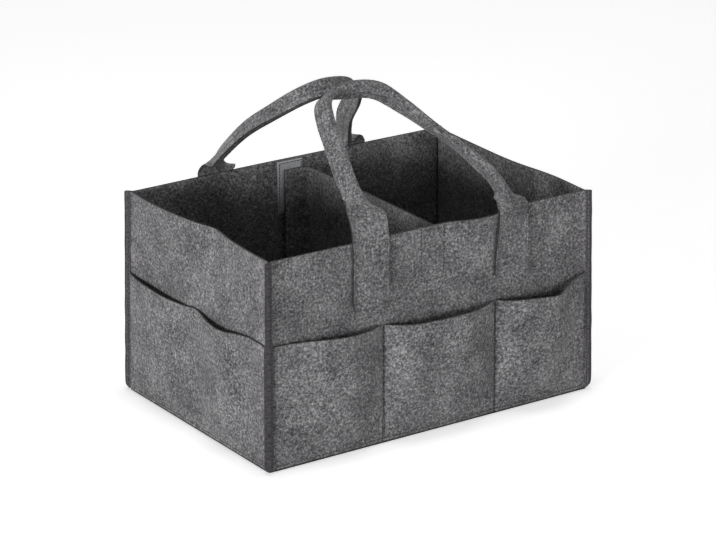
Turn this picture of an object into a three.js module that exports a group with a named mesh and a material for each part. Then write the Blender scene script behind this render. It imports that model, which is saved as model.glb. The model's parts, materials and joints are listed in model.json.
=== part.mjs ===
// Felt caddy with two carrying handles, outside pockets and a removable divider.
// Millimetres. X runs along the long sides, Y from the front to the rear and Z up from the underside.
import * as THREE from "three";

// Body
const LENGTH = 380;
const DEPTH = 256;
const HEIGHT = 213;
const FELT = 2.4;
const SEAT = 0.3;
const LEFT_RIM_BOW = 12;
const RIGHT_RIM_BOW = 5;

// Corner seams, whose allowances are turned outward and bound with tape
const ALLOWANCE = 8.5;
const ALLOWANCE_NECK = 3.2;
const PRESSED_SHARE = 0.7;
const TAPE = 0.8;
const TAPE_NOSE_RADIUS = 1.2;
const TAPE_STEP = 6;
const TAPE_LIFT = 0.6;

// Pockets
const POCKET_HEIGHT = 126;
const POCKET_BULGE = 12;
const LONG_MOUTH_DIP = 2;
const SHORT_MOUTH_DIP = 6;
const LONG_SEAMS = [-59, 74];
const SHORT_SEAMS = [-6];

// Floor
const BOARD = 2;
const BOARD_INSET = 3;

// Straps: flat at their ends, and folded in half lengthwise with both edges sewn together between them
const STRAP_WIDTH = 41;
const STRAP_CORNER_RADIUS = 14;
const STRAP_RISE = 2;
const STRAP_POCKET_GAP = 14;
const FOLD_RADIUS = 3.3;
const FOOT_TURN = 16;
const LEAN_LENGTH = 22;
const CURL_SHARE = 0.85;

// Handle loops: the middle and half the span between the feet, the ridge's rise over the rim, how far
// short of the middle plane the top of the ridge stays, how far each leg stays flat from its foot,
// the length over which it then folds, and where it starts to lean along the loop
const FRONT_HANDLE_CENTRE = 9.5;
const FRONT_HANDLE_HALF_SPAN = 84;
const FRONT_HANDLE_RISE = 113.5;
const FRONT_HANDLE_SHORT = 9;
const FRONT_HANDLE_FLATS = [26, 0];
const FRONT_HANDLE_FLARES = [32, 21];
const FRONT_HANDLE_LEANS = [8, 0];
const REAR_HANDLE_CENTRE = 6;
const REAR_HANDLE_HALF_SPAN = 81;
const REAR_HANDLE_RISE = 112.5;
const REAR_HANDLE_SHORT = 20.5;
const REAR_HANDLE_FLATS = [2, 0];
const REAR_HANDLE_FLARES = [26, 26];
const REAR_HANDLE_LEANS = [0, 0];

// Divider and its hook and loop fasteners
const DIVIDER_X = 17;
const DIVIDER_DROP = 10;
const DIVIDER_TAB = 26;
const DIVIDER_BEND_RADIUS = 4;
const HOOK_THICKNESS = 1.4;
const HOOK_WIDTH = 24;
const HOOK_HEIGHT = 50;
const HOOK_DROP = 3;
const LOOP_THICKNESS = 1.6;
const LOOP_WIDTH = 30;
const LOOP_HEIGHT = 55;
const LOOP_DROP = 2;

// Values that follow from the sizes above
const INNER_LONG = LENGTH / 2 - FELT;
const INNER_SHORT = DEPTH / 2 - FELT;
const WALL_BASE = FELT + SEAT;
const POCKET_OUT = FELT + SEAT;
const FLOOR_TOP = WALL_BASE + BOARD + SEAT + FELT;
const HINGE_Z = HEIGHT + STRAP_RISE;
const STRAP_LOW = POCKET_HEIGHT + STRAP_POCKET_GAP;
const STRAP_OUT = FELT + SEAT;
const BEND_LENGTH = (FOLD_RADIUS * Math.PI) / 2;
const ARM_LENGTH = STRAP_WIDTH / 2 - BEND_LENGTH;
const FOLD_TURN = Math.PI / 2 + Math.asin((FOLD_RADIUS - FELT / 2 - SEAT) / ARM_LENGTH);
const FLANGE_MITRE = Math.tan(Math.PI / 8);

// Counts of facets
const BAY_STEPS = 10;
const WALL_STEPS = 14;
const ARC_STEPS = 6;
const NOSE_STEPS = 3;
const BEND_STEPS = 3;
const HANDLE_STATIONS = 52;

// How far up each level of a wall or a pocket panel lies, as shares of its height.
const WALL_LEVEL_SHARES = [0, 0.6, 0.7, 0.8, 0.9, 1];
const POCKET_LEVEL_SHARES = [0, 0.04, 0.1, 0.18, 0.28, 0.42, 0.6, 0.8, 1];
const BULGE_RISE_POWER = 2.5;
const BULGE_ACROSS_POWER = 2.5;

// The handles' ridge lines, as shares of half the span across and of the rise up.
const FRONT_ROUTE_SHARES = [
  [-1, 0], [-0.965, 0.12], [-0.905, 0.27], [-0.86, 0.4], [-0.82, 0.55], [-0.788, 0.68], [-0.748, 0.81],
  [-0.66, 0.93], [-0.44, 0.995], [-0.1, 1], [0.12, 0.955], [0.3, 0.82], [0.53, 0.61], [0.79, 0.42],
  [0.95, 0.27], [1, 0.13], [1, 0],
];
const REAR_ROUTE_SHARES = [
  [-1, 0], [-0.82, 0.15], [-0.64, 0.32], [-0.48, 0.5], [-0.36, 0.75], [-0.18, 0.92], [0.08, 0.99],
  [0.34, 1], [0.55, 0.925], [0.78, 0.73], [0.94, 0.58], [1.035, 0.38], [1.065, 0.22], [1.04, 0.1], [1, 0],
];

// How the folded strap is rolled about its ridge, in degrees, at shares of the way along the loop.
const FRONT_ROLL_DEGREES = [
  [0, 20], [0.1, 40], [0.18, 48], [0.27, 34], [0.36, 28], [0.41, 18], [0.455, -8], [0.5, -17],
  [0.57, -14], [0.62, 0], [0.68, 14], [0.76, 25], [0.82, 20], [0.87, 14], [0.92, 11], [1, 6],
];
const REAR_ROLL_DEGREES = [[0, 10], [0.25, 18], [0.5, 15], [0.75, 18], [1, 10]];

// Each side is drawn as the front one, facing -Y, and then turned to its place about Z.
const SIDES = {
  front: {
    turn: 0,
    half: LENGTH / 2,
    inner: INNER_SHORT,
    bow: 0,
    seams: LONG_SEAMS,
    dip: LONG_MOUTH_DIP,
    handle: {
      centre: FRONT_HANDLE_CENTRE,
      halfSpan: FRONT_HANDLE_HALF_SPAN,
      rise: FRONT_HANDLE_RISE,
      short: FRONT_HANDLE_SHORT,
      leanBowShare: 0.15,
      flats: FRONT_HANDLE_FLATS,
      flares: FRONT_HANDLE_FLARES,
      leans: FRONT_HANDLE_LEANS,
      rollDegrees: FRONT_ROLL_DEGREES,
      routeShares: FRONT_ROUTE_SHARES,
    },
  },
  rear: {
    turn: Math.PI,
    half: LENGTH / 2,
    inner: INNER_SHORT,
    bow: 0,
    seams: LONG_SEAMS,
    dip: LONG_MOUTH_DIP,
    handle: {
      centre: REAR_HANDLE_CENTRE,
      halfSpan: REAR_HANDLE_HALF_SPAN,
      rise: REAR_HANDLE_RISE,
      short: REAR_HANDLE_SHORT,
      leanBowShare: 0.3,
      flats: REAR_HANDLE_FLATS,
      flares: REAR_HANDLE_FLARES,
      leans: REAR_HANDLE_LEANS,
      rollDegrees: REAR_ROLL_DEGREES,
      routeShares: REAR_ROUTE_SHARES,
    },
  },
  left: {
    turn: -Math.PI / 2,
    half: DEPTH / 2,
    inner: INNER_LONG,
    bow: LEFT_RIM_BOW,
    seams: SHORT_SEAMS,
    dip: SHORT_MOUTH_DIP,
  },
  right: {
    turn: Math.PI / 2,
    half: DEPTH / 2,
    inner: INNER_LONG,
    bow: RIGHT_RIM_BOW,
    seams: SHORT_SEAMS,
    dip: SHORT_MOUTH_DIP,
  },
};

const felt = new THREE.MeshStandardMaterial({ color: 0x5e5d60, roughness: 0.95, metalness: 0 });
const strapFelt = new THREE.MeshStandardMaterial({ color: 0x565558, roughness: 0.95, metalness: 0 });
const bindingTape = new THREE.MeshStandardMaterial({ color: 0x2f2d2f, roughness: 0.85, metalness: 0 });
const board = new THREE.MeshStandardMaterial({ color: 0x8a7a66, roughness: 0.9, metalness: 0 });
const loopTape = new THREE.MeshStandardMaterial({ color: 0x8f9094, roughness: 0.9, metalness: 0 });
const hookTape = new THREE.MeshStandardMaterial({ color: 0x6f7074, roughness: 0.7, metalness: 0 });

const part = new THREE.Group();

function addPiece(name, geometry, material, turn = 0) {
  const mesh = new THREE.Mesh(geometry, material);
  mesh.name = name;
  mesh.rotation.z = turn;
  part.add(mesh);
  return mesh;
}

// Six times the volume inside a list of triangles, which is negative when they face inward.
function signedVolume(points, triangles) {
  return triangles.reduce((sum, [a, b, c]) => {
    return sum + points[a].dot(new THREE.Vector3().crossVectors(points[b], points[c]));
  }, 0);
}

// A closed solid through rings of equally many points, with the given triangles as caps.
function loft(rings, capTriangles) {
  const points = rings.flat();
  const count = rings[0].length;
  const last = points.length - count;
  const triangles = [];
  for (let start = 0; start < last; start += count) {
    for (let i = 0; i < count; i += 1) {
      const a = start + i;
      const b = start + ((i + 1) % count);
      triangles.push([a, b, b + count], [a, b + count, a + count]);
    }
  }
  for (const [a, b, c] of capTriangles) {
    triangles.push([c, b, a], [last + a, last + b, last + c]);
  }
  if (signedVolume(points, triangles) < 0) {
    triangles.forEach((triangle) => triangle.reverse());
  }
  const geometry = new THREE.BufferGeometry().setFromPoints(points);
  geometry.setIndex(triangles.flat());
  geometry.computeVertexNormals();
  return geometry;
}

// Caps for a ring that runs along one long edge of a sheet and back along the other.
function sheetCap(edgeCount) {
  const triangles = [];
  const last = 2 * edgeCount - 1;
  for (let i = 0; i + 1 < edgeCount; i += 1) {
    triangles.push([i, i + 1, last - i - 1], [i, last - i - 1, last - i]);
  }
  return triangles;
}

function smooth(share) {
  return THREE.MathUtils.smoothstep(share, 0, 1);
}

// The plan line of a sheet on one side, at a distance outward from the wall's inner face.
// It ends on the corner's diagonal, where the allowance is pressed flat for the tape.
function sideLine(side, out, stops) {
  const corner = side.half - FELT - SEAT * Math.SQRT1_2;
  const onDiagonal = (along) => {
    const pressed = out * PRESSED_SHARE;
    return [corner + (along - pressed) * Math.SQRT1_2, side.inner + (along + pressed) * Math.SQRT1_2];
  };
  const turned = [corner - out * FLANGE_MITRE, side.inner + out];
  const end = [turned, onDiagonal(ALLOWANCE_NECK), onDiagonal(ALLOWANCE)];
  const mirrored = end.map(([along, away]) => [-along, away]).reverse();
  return [...mirrored, ...stops.map((along) => [along, side.inner + out]), ...end];
}

// A felt sheet on one side. Its shape function says how far it stands off and where its top edge is.
function sideSheet(side, out, stops, levelShares, shape) {
  const edges = [sideLine(side, out, stops), sideLine(side, out + FELT, stops)];
  const rings = levelShares.map((share) => {
    const [inside, outside] = edges.map((line) => {
      return line.map(([along, away]) => {
        const { offset, top } = shape(along, share);
        return new THREE.Vector3(along, -away - offset, THREE.MathUtils.lerp(WALL_BASE, top, share));
      });
    });
    return [...inside, ...outside.reverse()];
  });
  return loft(rings, sheetCap(edges[0].length));
}

function evenStops(from, to, steps) {
  const stops = [];
  for (let i = 1; i < steps; i += 1) {
    stops.push(THREE.MathUtils.lerp(from, to, i / steps));
  }
  return stops;
}

// A wall is flat up to the pockets' mouths, and above them it bows inward at its middle.
function wall(side) {
  const reach = side.half - FELT;
  const above = (HEIGHT - POCKET_HEIGHT) / HEIGHT;
  return sideSheet(side, 0, evenStops(-reach, reach, WALL_STEPS), WALL_LEVEL_SHARES, (along, share) => {
    const across = Math.min(Math.abs(along) / reach, 1);
    const up = Math.max(share - 1 + above, 0) / above;
    return { offset: -side.bow * up * up * (1 - across * across), top: HEIGHT };
  });
}

// A pocket panel touches the wall at its seams and stands off between them.
function pocketPanel(side) {
  const reach = side.half - FELT - POCKET_OUT;
  const seams = [-reach, ...side.seams, reach];
  const stops = seams.slice(1).flatMap((seam, i) => {
    return [...(i > 0 ? [seams[i]] : []), ...evenStops(seams[i], seam, BAY_STEPS)];
  });
  return sideSheet(side, POCKET_OUT, stops, POCKET_LEVEL_SHARES, (along, share) => {
    const bay = seams.findIndex((seam, i) => i > 0 && along <= seam);
    if (Math.abs(along) >= reach || bay < 1) {
      return { offset: 0, top: POCKET_HEIGHT };
    }
    const middle = (seams[bay - 1] + seams[bay]) / 2;
    const across = Math.abs(along - middle) / (seams[bay] - middle);
    const open = 1 - across ** BULGE_ACROSS_POWER;
    const rise = 1 - (1 - share) ** BULGE_RISE_POWER;
    return { offset: POCKET_BULGE * open * rise, top: POCKET_HEIGHT - side.dip * (1 - across * across) };
  });
}

// Tape folded over a corner seam, as a U in plan. It is wider below the pockets' mouths, where it holds four sheets.
function cornerBinding() {
  const start = ALLOWANCE_NECK + SEAT;
  const inside = ALLOWANCE + SEAT;
  const nose = inside + TAPE;
  const ring = (sheetsOut, z) => {
    const innerHalf = SEAT / 2 + sheetsOut * PRESSED_SHARE + SEAT;
    const outerHalf = innerHalf + TAPE;
    const outline = new THREE.Shape();
    outline.moveTo(start, -outerHalf);
    outline.absarc(nose - TAPE_NOSE_RADIUS, TAPE_NOSE_RADIUS - outerHalf, TAPE_NOSE_RADIUS, -Math.PI / 2, 0);
    outline.absarc(nose - TAPE_NOSE_RADIUS, outerHalf - TAPE_NOSE_RADIUS, TAPE_NOSE_RADIUS, 0, Math.PI / 2);
    outline.lineTo(start, outerHalf);
    outline.lineTo(start, innerHalf);
    outline.lineTo(inside, innerHalf);
    outline.lineTo(inside, -innerHalf);
    outline.lineTo(start, -innerHalf);
    return outline.getPoints(NOSE_STEPS).map((point) => new THREE.Vector3(point.x, point.y, z));
  };
  const wallOnly = FELT;
  const withPocket = POCKET_OUT + FELT;
  const step = POCKET_HEIGHT + SEAT;
  const rings = [
    ring(withPocket, TAPE_LIFT),
    ring(withPocket, step),
    ring(wallOnly, step + TAPE_STEP),
    ring(wallOnly, HEIGHT),
  ];
  const flat = rings[0].map((point) => new THREE.Vector2(point.x, point.y));
  return loft(rings, THREE.ShapeUtils.triangulateShape(flat, []));
}

function box(low, high) {
  const size = new THREE.Vector3().subVectors(high, low);
  const centre = new THREE.Vector3().addVectors(low, high).multiplyScalar(1 / 2);
  return new THREE.BoxGeometry(size.x, size.y, size.z).translate(centre.x, centre.y, centre.z);
}

// The floor felt reaches under the pocket panels, with its corners cut off behind the tapes.
function basePanel() {
  const x = INNER_LONG + POCKET_OUT + FELT;
  const y = INNER_SHORT + POCKET_OUT + FELT;
  const cut = x - INNER_LONG + y - INNER_SHORT - ALLOWANCE_NECK * Math.SQRT2;
  const outline = new THREE.Shape();
  outline.moveTo(x - cut, -y);
  outline.lineTo(x, cut - y);
  outline.lineTo(x, y - cut);
  outline.lineTo(x - cut, y);
  outline.lineTo(cut - x, y);
  outline.lineTo(-x, y - cut);
  outline.lineTo(-x, cut - y);
  outline.lineTo(cut - x, -y);
  outline.closePath();
  return new THREE.ExtrudeGeometry(outline, { depth: FELT, bevelEnabled: false });
}

function floorLayer(inset, bottom, thickness) {
  const x = INNER_LONG - inset;
  const y = INNER_SHORT - inset;
  return box(new THREE.Vector3(-x, -y, bottom), new THREE.Vector3(x, y, bottom + thickness));
}

// The flat end of a strap on the outer face of a long wall, with two round corners below.
function strapEnd(side, along) {
  const half = STRAP_WIDTH / 2;
  const low = STRAP_LOW;
  const outline = new THREE.Shape();
  outline.moveTo(along + half, HINGE_Z);
  outline.lineTo(along - half, HINGE_Z);
  outline.absarc(along - half + STRAP_CORNER_RADIUS, low + STRAP_CORNER_RADIUS, STRAP_CORNER_RADIUS,
    Math.PI, 1.5 * Math.PI);
  outline.absarc(along + half - STRAP_CORNER_RADIUS, low + STRAP_CORNER_RADIUS, STRAP_CORNER_RADIUS,
    1.5 * Math.PI, 2 * Math.PI);
  outline.closePath();
  const geometry = new THREE.ExtrudeGeometry(outline, {
    depth: FELT,
    bevelEnabled: false,
    curveSegments: ARC_STEPS,
  });
  return geometry.rotateX(Math.PI / 2).translate(0, -side.inner - STRAP_OUT, 0);
}

// Half of a strap's section, walked from its middle to one edge round the bend and along the flat arm.
// Each stop has the middle of the felt and the heading there, where zero runs straight across the strap.
// The strap starts to fold as a wide curl, which closes to the bend round the ridge.
function halfSection(turn) {
  const stops = [{ across: 0, inward: 0, heading: 0 }];
  const closed = Math.min(turn / (Math.PI / 2), 1);
  const bend = THREE.MathUtils.lerp((STRAP_WIDTH / 2) * CURL_SHARE, BEND_LENGTH, closed);
  for (let i = 0; i <= BEND_STEPS; i += 1) {
    const step = i < BEND_STEPS ? bend / BEND_STEPS : STRAP_WIDTH / 2 - bend;
    const walked = turn * Math.min((i + 1 / 2) / BEND_STEPS, 1);
    const { across, inward } = stops[i];
    stops.push({
      across: across + step * Math.cos(walked),
      inward: inward + step * Math.sin(walked),
      heading: turn * Math.min((i + 1) / BEND_STEPS, 1),
    });
  }
  return stops;
}

// The height at a place along a line of straight runs through points.
function heightOn(points, place) {
  const next = Math.max(points.findIndex(([at]) => at >= place), 1);
  const [before, low] = points[next - 1];
  const [after, high] = points[next];
  return THREE.MathUtils.mapLinear(place, before, after, low, high);
}

// The ring of points round a strap that is folded by the given turn about its ridge.
function strapSection(ridge, across, inward, turn) {
  const half = halfSection(turn);
  const mirrored = half.slice(1).reverse().map((stop) => {
    return { across: -stop.across, inward: stop.inward, heading: -stop.heading };
  });
  const stops = [...mirrored, ...half];
  const face = (out) => stops.map((stop) => {
    return ridge.clone()
      .addScaledVector(across, stop.across + out * Math.sin(stop.heading))
      .addScaledVector(inward, stop.inward - out * Math.cos(stop.heading));
  });
  return [...face(FELT / 2), ...face(-FELT / 2).reverse()];
}

// The loop of a handle, drawn along its ridge. Each leg starts flat over its strap end and folds in half
// round its middle, with the sewn edges inward. The loop leans in over the middle of the body.
function handleLoop(side) {
  const { centre, halfSpan, rise, short, leanBowShare, rollDegrees, routeShares } = side.handle;
  const footAway = side.inner + STRAP_OUT + FELT - SEAT - FELT / 2;
  const reach = footAway - short;
  const leanAt = (up) => reach * ((1 - leanBowShare) * up + leanBowShare * up * up);
  const slopeAt = (up) => (reach * (1 - leanBowShare + 2 * leanBowShare * up)) / rise;
  const foot = HINGE_Z + SEAT;
  const route = new THREE.CatmullRomCurve3(routeShares.map(([across, up]) => {
    return new THREE.Vector3(centre + halfSpan * across, leanAt(up) - footAway, foot + rise * up);
  }));
  const length = route.getLength();
  const rings = [];
  for (let i = 0; i <= HANDLE_STATIONS; i += 1) {
    const share = i / HANDLE_STATIONS;
    const fromFoot = length * Math.min(share, 1 - share);
    const ridge = route.getPointAt(share);
    const up = (ridge.z - foot) / rise;
    const leg = share < 1 / 2 ? 0 : 1;
    const folded = smooth((fromFoot - side.handle.flats[leg]) / side.handle.flares[leg]);
    const leaning = smooth((fromFoot - side.handle.leans[leg]) / LEAN_LENGTH);
    const climb = Math.sign(1 - 2 * share);
    const lean = new THREE.Vector3(0, slopeAt(up), 1).normalize().multiplyScalar(climb);
    const upright = new THREE.Vector3(0, 0, climb).lerp(lean, smooth(fromFoot / FOOT_TURN));
    const along = upright.lerp(route.getTangentAt(share), Math.max(folded, leaning)).normalize();
    const facing = new THREE.Vector3(0, 1, -slopeAt(up)).normalize();
    const inLoop = new THREE.Vector3().crossVectors(facing, along).normalize();
    const square = new THREE.Vector3().crossVectors(along, inLoop).normalize();
    const roll = folded * THREE.MathUtils.degToRad(heightOn(rollDegrees, share));
    const inward = square.multiplyScalar(Math.cos(roll)).addScaledVector(inLoop, -Math.sin(roll));
    const across = new THREE.Vector3().crossVectors(inward, along);
    rings.push(strapSection(ridge, across, inward, folded * FOLD_TURN));
  }
  return loft(rings, sheetCap(rings[0].length / 2));
}

// The divider in plan: a sheet across the body whose two ends are folded into tabs along the long walls.
function dividerPanel(halfDepth) {
  const right = DIVIDER_X + FELT;
  const left = DIVIDER_X - DIVIDER_TAB;
  const bend = DIVIDER_BEND_RADIUS;
  const innerBend = bend - FELT;
  const inner = halfDepth - FELT;
  const outline = new THREE.Shape();
  outline.moveTo(left, -halfDepth);
  outline.absarc(right - bend, bend - halfDepth, bend, -Math.PI / 2, 0);
  outline.absarc(right - bend, halfDepth - bend, bend, 0, Math.PI / 2);
  outline.lineTo(left, halfDepth);
  outline.lineTo(left, inner);
  outline.absarc(DIVIDER_X - innerBend, inner - innerBend, innerBend, Math.PI / 2, 0, true);
  outline.absarc(DIVIDER_X - innerBend, innerBend - inner, innerBend, 0, -Math.PI / 2, true);
  outline.lineTo(left, -inner);
  outline.closePath();
  const bottom = FLOOR_TOP + SEAT;
  const geometry = new THREE.ExtrudeGeometry(outline, {
    depth: HEIGHT - DIVIDER_DROP - bottom,
    bevelEnabled: false,
    curveSegments: ARC_STEPS,
  });
  return geometry.translate(0, 0, bottom);
}

// A flat tape against a long wall. away is the distance of its outer face from the middle plane.
function flatTape(centreX, width, thickness, away, top, height) {
  return box(
    new THREE.Vector3(centreX - width / 2, -away, top - height),
    new THREE.Vector3(centreX + width / 2, thickness - away, top),
  );
}

for (const [name, side] of Object.entries(SIDES)) {
  addPiece(`${name}_wall`, wall(side), felt, side.turn);
  addPiece(`${name}_pocket_panel`, pocketPanel(side), felt, side.turn);
}

addPiece("base_panel", basePanel(), felt);
addPiece("base_board", floorLayer(BOARD_INSET, WALL_BASE, BOARD), board);
addPiece("base_liner", floorLayer(SEAT, WALL_BASE + BOARD + SEAT, FELT), felt);

for (const [depthName, ySign] of [["front", -1], ["rear", 1]]) {
  for (const [sideName, xSign] of [["left", -1], ["right", 1]]) {
    const turn = Math.atan2(ySign, xSign);
    const binding = addPiece(`${depthName}_${sideName}_binding`, cornerBinding(), bindingTape, turn);
    binding.position.set(xSign * INNER_LONG, ySign * INNER_SHORT, 0);
  }
}

for (const name of ["front", "rear"]) {
  const side = SIDES[name];
  const { centre, halfSpan } = side.handle;
  const ends = [strapEnd(side, centre - halfSpan), strapEnd(side, centre + halfSpan)];
  const endNames = name === "front" ? ["left", "right"] : ["right", "left"];
  ends.forEach((end, i) => addPiece(`${name}_handle_${endNames[i]}_end`, end, strapFelt, side.turn));
  addPiece(`${name}_handle`, handleLoop(side), strapFelt, side.turn);
}

// The loop patch, the hook tape and the divider's tab lie in turn against the inner face of each long wall.
const loopAway = INNER_SHORT - SEAT;
const hookAway = loopAway - LOOP_THICKNESS - SEAT;
const tabAway = hookAway - HOOK_THICKNESS - SEAT;
const tabCentre = DIVIDER_X - DIVIDER_TAB / 2;
const dividerTop = HEIGHT - DIVIDER_DROP;
for (const [name, turn, sign] of [["front", 0, 1], ["rear", Math.PI, -1]]) {
  const loop = flatTape(0, LOOP_WIDTH, LOOP_THICKNESS, loopAway, HEIGHT - LOOP_DROP, LOOP_HEIGHT);
  const hook = flatTape(sign * tabCentre, HOOK_WIDTH, HOOK_THICKNESS, hookAway, dividerTop - HOOK_DROP,
    HOOK_HEIGHT);
  addPiece(`${name}_loop_patch`, loop, loopTape, turn);
  addPiece(`divider_${name}_hook_tape`, hook, hookTape, turn);
}
addPiece("divider_panel", dividerPanel(tabAway), felt);

export default part;
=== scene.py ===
"""A felt caddy with outside pockets, two folded felt handles and a lift-out divider.

Every length is in metres. X runs along the long sides, Y from the front to the rear, Z up.
"""

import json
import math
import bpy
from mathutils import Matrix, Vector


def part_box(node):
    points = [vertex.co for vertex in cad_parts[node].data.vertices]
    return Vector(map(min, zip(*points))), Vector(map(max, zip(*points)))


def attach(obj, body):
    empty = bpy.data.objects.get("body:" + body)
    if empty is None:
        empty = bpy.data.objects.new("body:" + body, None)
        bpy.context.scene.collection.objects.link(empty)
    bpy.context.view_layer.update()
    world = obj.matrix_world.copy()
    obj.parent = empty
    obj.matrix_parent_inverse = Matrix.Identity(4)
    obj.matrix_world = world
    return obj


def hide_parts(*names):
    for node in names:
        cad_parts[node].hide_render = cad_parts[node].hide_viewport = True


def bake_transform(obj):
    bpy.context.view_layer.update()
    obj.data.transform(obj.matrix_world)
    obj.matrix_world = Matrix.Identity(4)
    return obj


bl_info = {
    "name": "Felt Caddy",
    "version": (1, 0, 0),
    "blender": (4, 5, 0),
    "location": "3D View > Sidebar > Felt Caddy",
    "description": "Builds a sewn felt caddy with pockets, handles and a divider",
    "category": "Add Mesh",
}

import bpy
from mathutils import Vector, noise

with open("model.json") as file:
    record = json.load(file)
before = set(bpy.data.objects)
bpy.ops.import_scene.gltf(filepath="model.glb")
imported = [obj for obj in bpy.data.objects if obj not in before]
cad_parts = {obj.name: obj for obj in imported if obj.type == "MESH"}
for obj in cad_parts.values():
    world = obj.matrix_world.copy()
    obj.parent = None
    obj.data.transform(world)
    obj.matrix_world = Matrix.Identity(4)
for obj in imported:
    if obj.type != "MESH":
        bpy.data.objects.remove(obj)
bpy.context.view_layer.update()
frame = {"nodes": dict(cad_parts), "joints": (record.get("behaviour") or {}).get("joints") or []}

# Sizes that the frame gives: the felt's thickness, the gap at a seam, the plan of the walls' outer faces,
# the heights of the rim and of the pockets' mouths, and where the straps, patches and divider are
FELT_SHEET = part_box("base_panel")[1].z
SEAM_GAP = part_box("base_board")[0].z - FELT_SHEET
HALF_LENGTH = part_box("base_panel")[1].x - FELT_SHEET - SEAM_GAP
HALF_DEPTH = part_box("base_panel")[1].y - FELT_SHEET - SEAM_GAP
RIM_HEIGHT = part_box("front_wall")[1].z
MOUTH_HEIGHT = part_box("front_pocket_panel")[1].z
STRAP_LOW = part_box("front_handle_left_end")[0].z
LOOP_PATCH_LOW, LOOP_PATCH_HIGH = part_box("rear_loop_patch")
DIVIDER_LOW, DIVIDER_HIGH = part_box("divider_panel")
HINGE_HEIGHT = frame["joints"][0]["pos_m"][2]

MM = 0.001
RIGHT_ANGLE = math.pi / 2
DIAGONAL = math.sqrt(0.5)

# From one felt sheet to the next one that lies on it
NEXT_SHEET = FELT_SHEET + SEAM_GAP
WALL_BASE = NEXT_SHEET
INNER_LENGTH = HALF_LENGTH - FELT_SHEET
INNER_DEPTH = HALF_DEPTH - FELT_SHEET


def length(name, about, default, low=0.0, high=1.0):
    """A size in metres for a property group."""
    return bpy.props.FloatProperty(
        name=name, description=about, default=default, min=low, max=high, unit="LENGTH", precision=4
    )


def factor(name, about, default, low=0.0, high=4.0):
    """A plain number for a property group."""
    return bpy.props.FloatProperty(
        name=name, description=about, default=default, min=low, max=high, subtype="FACTOR"
    )


def angle(name, about, degrees):
    """An angle, given in degrees, for a property group."""
    return bpy.props.FloatProperty(
        name=name, description=about, default=math.radians(degrees), subtype="ANGLE"
    )


def power(name, about, watts):
    """The power of a lamp for a property group."""
    return bpy.props.FloatProperty(name=name, description=about, default=watts, min=0, unit="POWER")


def linear(hex_colour):
    """The linear colour of an sRGB hex value."""
    parts = [int(hex_colour[i : i + 2], 16) / 255 for i in (1, 3, 5)]
    return [c / 12.92 if c <= 0.04045 else ((c + 0.055) / 1.055) ** 2.4 for c in parts]


def colour(name, about, hex_colour):
    """A colour for a property group."""
    return bpy.props.FloatVectorProperty(
        name=name, description=about, default=linear(hex_colour), size=3, min=0, max=1,
        subtype="COLOR",
    )


def group(name, about, settings_class):
    """A property group within another one."""
    return bpy.props.PointerProperty(name=name, description=about, type=settings_class)


class CaddyBodySettings(bpy.types.PropertyGroup):
    """Sizes of the felt body"""

    felt: length("Felt", "Thickness of the felt sheets", FELT_SHEET)
    spread: length(
        "Spread", "How far each wall stands out at the floor and in at the rim", 1.5 * MM
    )
    unevenness: length("Unevenness", "Height of the soft waves in the felt", 0.7 * MM)
    wave: length("Wave", "Distance between the soft waves", 90 * MM)
    allowance: length("Allowance", "Seam allowance turned outward at the corners", 8.5 * MM)
    neck: length("Neck", "Where the allowances start to lie against each other", 3.2 * MM)
    column: length("Column", "Width of one face of a felt sheet", 4.5 * MM)
    row: length("Row", "Height of one face of a felt sheet", 5 * MM)
    raw_edge: length("Raw edge", "Rounding of the cut edges", 0.5 * MM)
    press: length("Press", "How deep a seam presses the felt", 1.7 * MM)
    press_reach: length("Press reach", "How far from a seam the felt is pressed", 2.6 * MM)
    tuck: length("Tuck", "How far the bound seams are rounded off at the floor", 4 * MM)
    tuck_height: length("Tuck height", "Height of that rounding", 9 * MM)


class CaddyTapeSettings(bpy.types.PropertyGroup):
    """Sizes of the tape that binds the corner seams"""

    thickness: length("Thickness", "Thickness of the tape", 0.8 * MM)
    half_above: length("Half above", "Half the bound width above the pockets", 2.6 * MM)
    half_below: length("Half below", "Half the bound width beside the pockets", 3.7 * MM)
    step: length("Step", "Height of the taper between the two widths", 7 * MM)
    nose: length("Nose", "Rounding of the folded edge", 1.5 * MM)
    # The flat sides' paler colour is painted light, and the darker fold painted shade.
    flat_side_light: factor("Flat side light", "How much paler the tape's flat sides are than its fold", 2.4, low=1)


class CaddyHandleSettings(bpy.types.PropertyGroup):
    """Sizes of the handles"""

    width: length("Width", "Width of the strap before it is folded", 41 * MM)
    fold_radius: length("Fold radius", "Radius of the lengthwise fold", 3.3 * MM)
    corner: length("Corner", "Radius of the corners of the strap's flat ends", 14 * MM)
    lean: length("Lean", "Length of a leg over which it starts to follow the loop", 22 * MM)
    lift: length("Lift", "How far the border of a flat end stands off the wall", 1.3 * MM)
    curl: factor(
        "Curl", "Share of half the strap that curls where it starts to fold", 0.8, low=0.1, high=1
    )
    bend_zone: length(
        "Bend zone", "Length of the strap that bends over the rim when a handle swings", 15 * MM
    )


class CaddyThreadSettings(bpy.types.PropertyGroup):
    """Sizes of the stitches"""

    pitch: length("Pitch", "Distance from one stitch to the next", 3.4 * MM)
    stitch: length("Stitch", "Length of thread that shows in a stitch", 2.8 * MM)
    thread: length("Thread", "Radius of the thread", 0.4 * MM)
    border: length("Border", "Distance of a seam from the edge that it follows", 4 * MM)


class CaddyDividerSettings(bpy.types.PropertyGroup):
    """Sizes of the divider"""

    bend: length("Bend", "Outer radius of the fold into a tab", 4 * MM)
    bow: length("Bow", "How far the middle of the sheet bows", 2.5 * MM)


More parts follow.
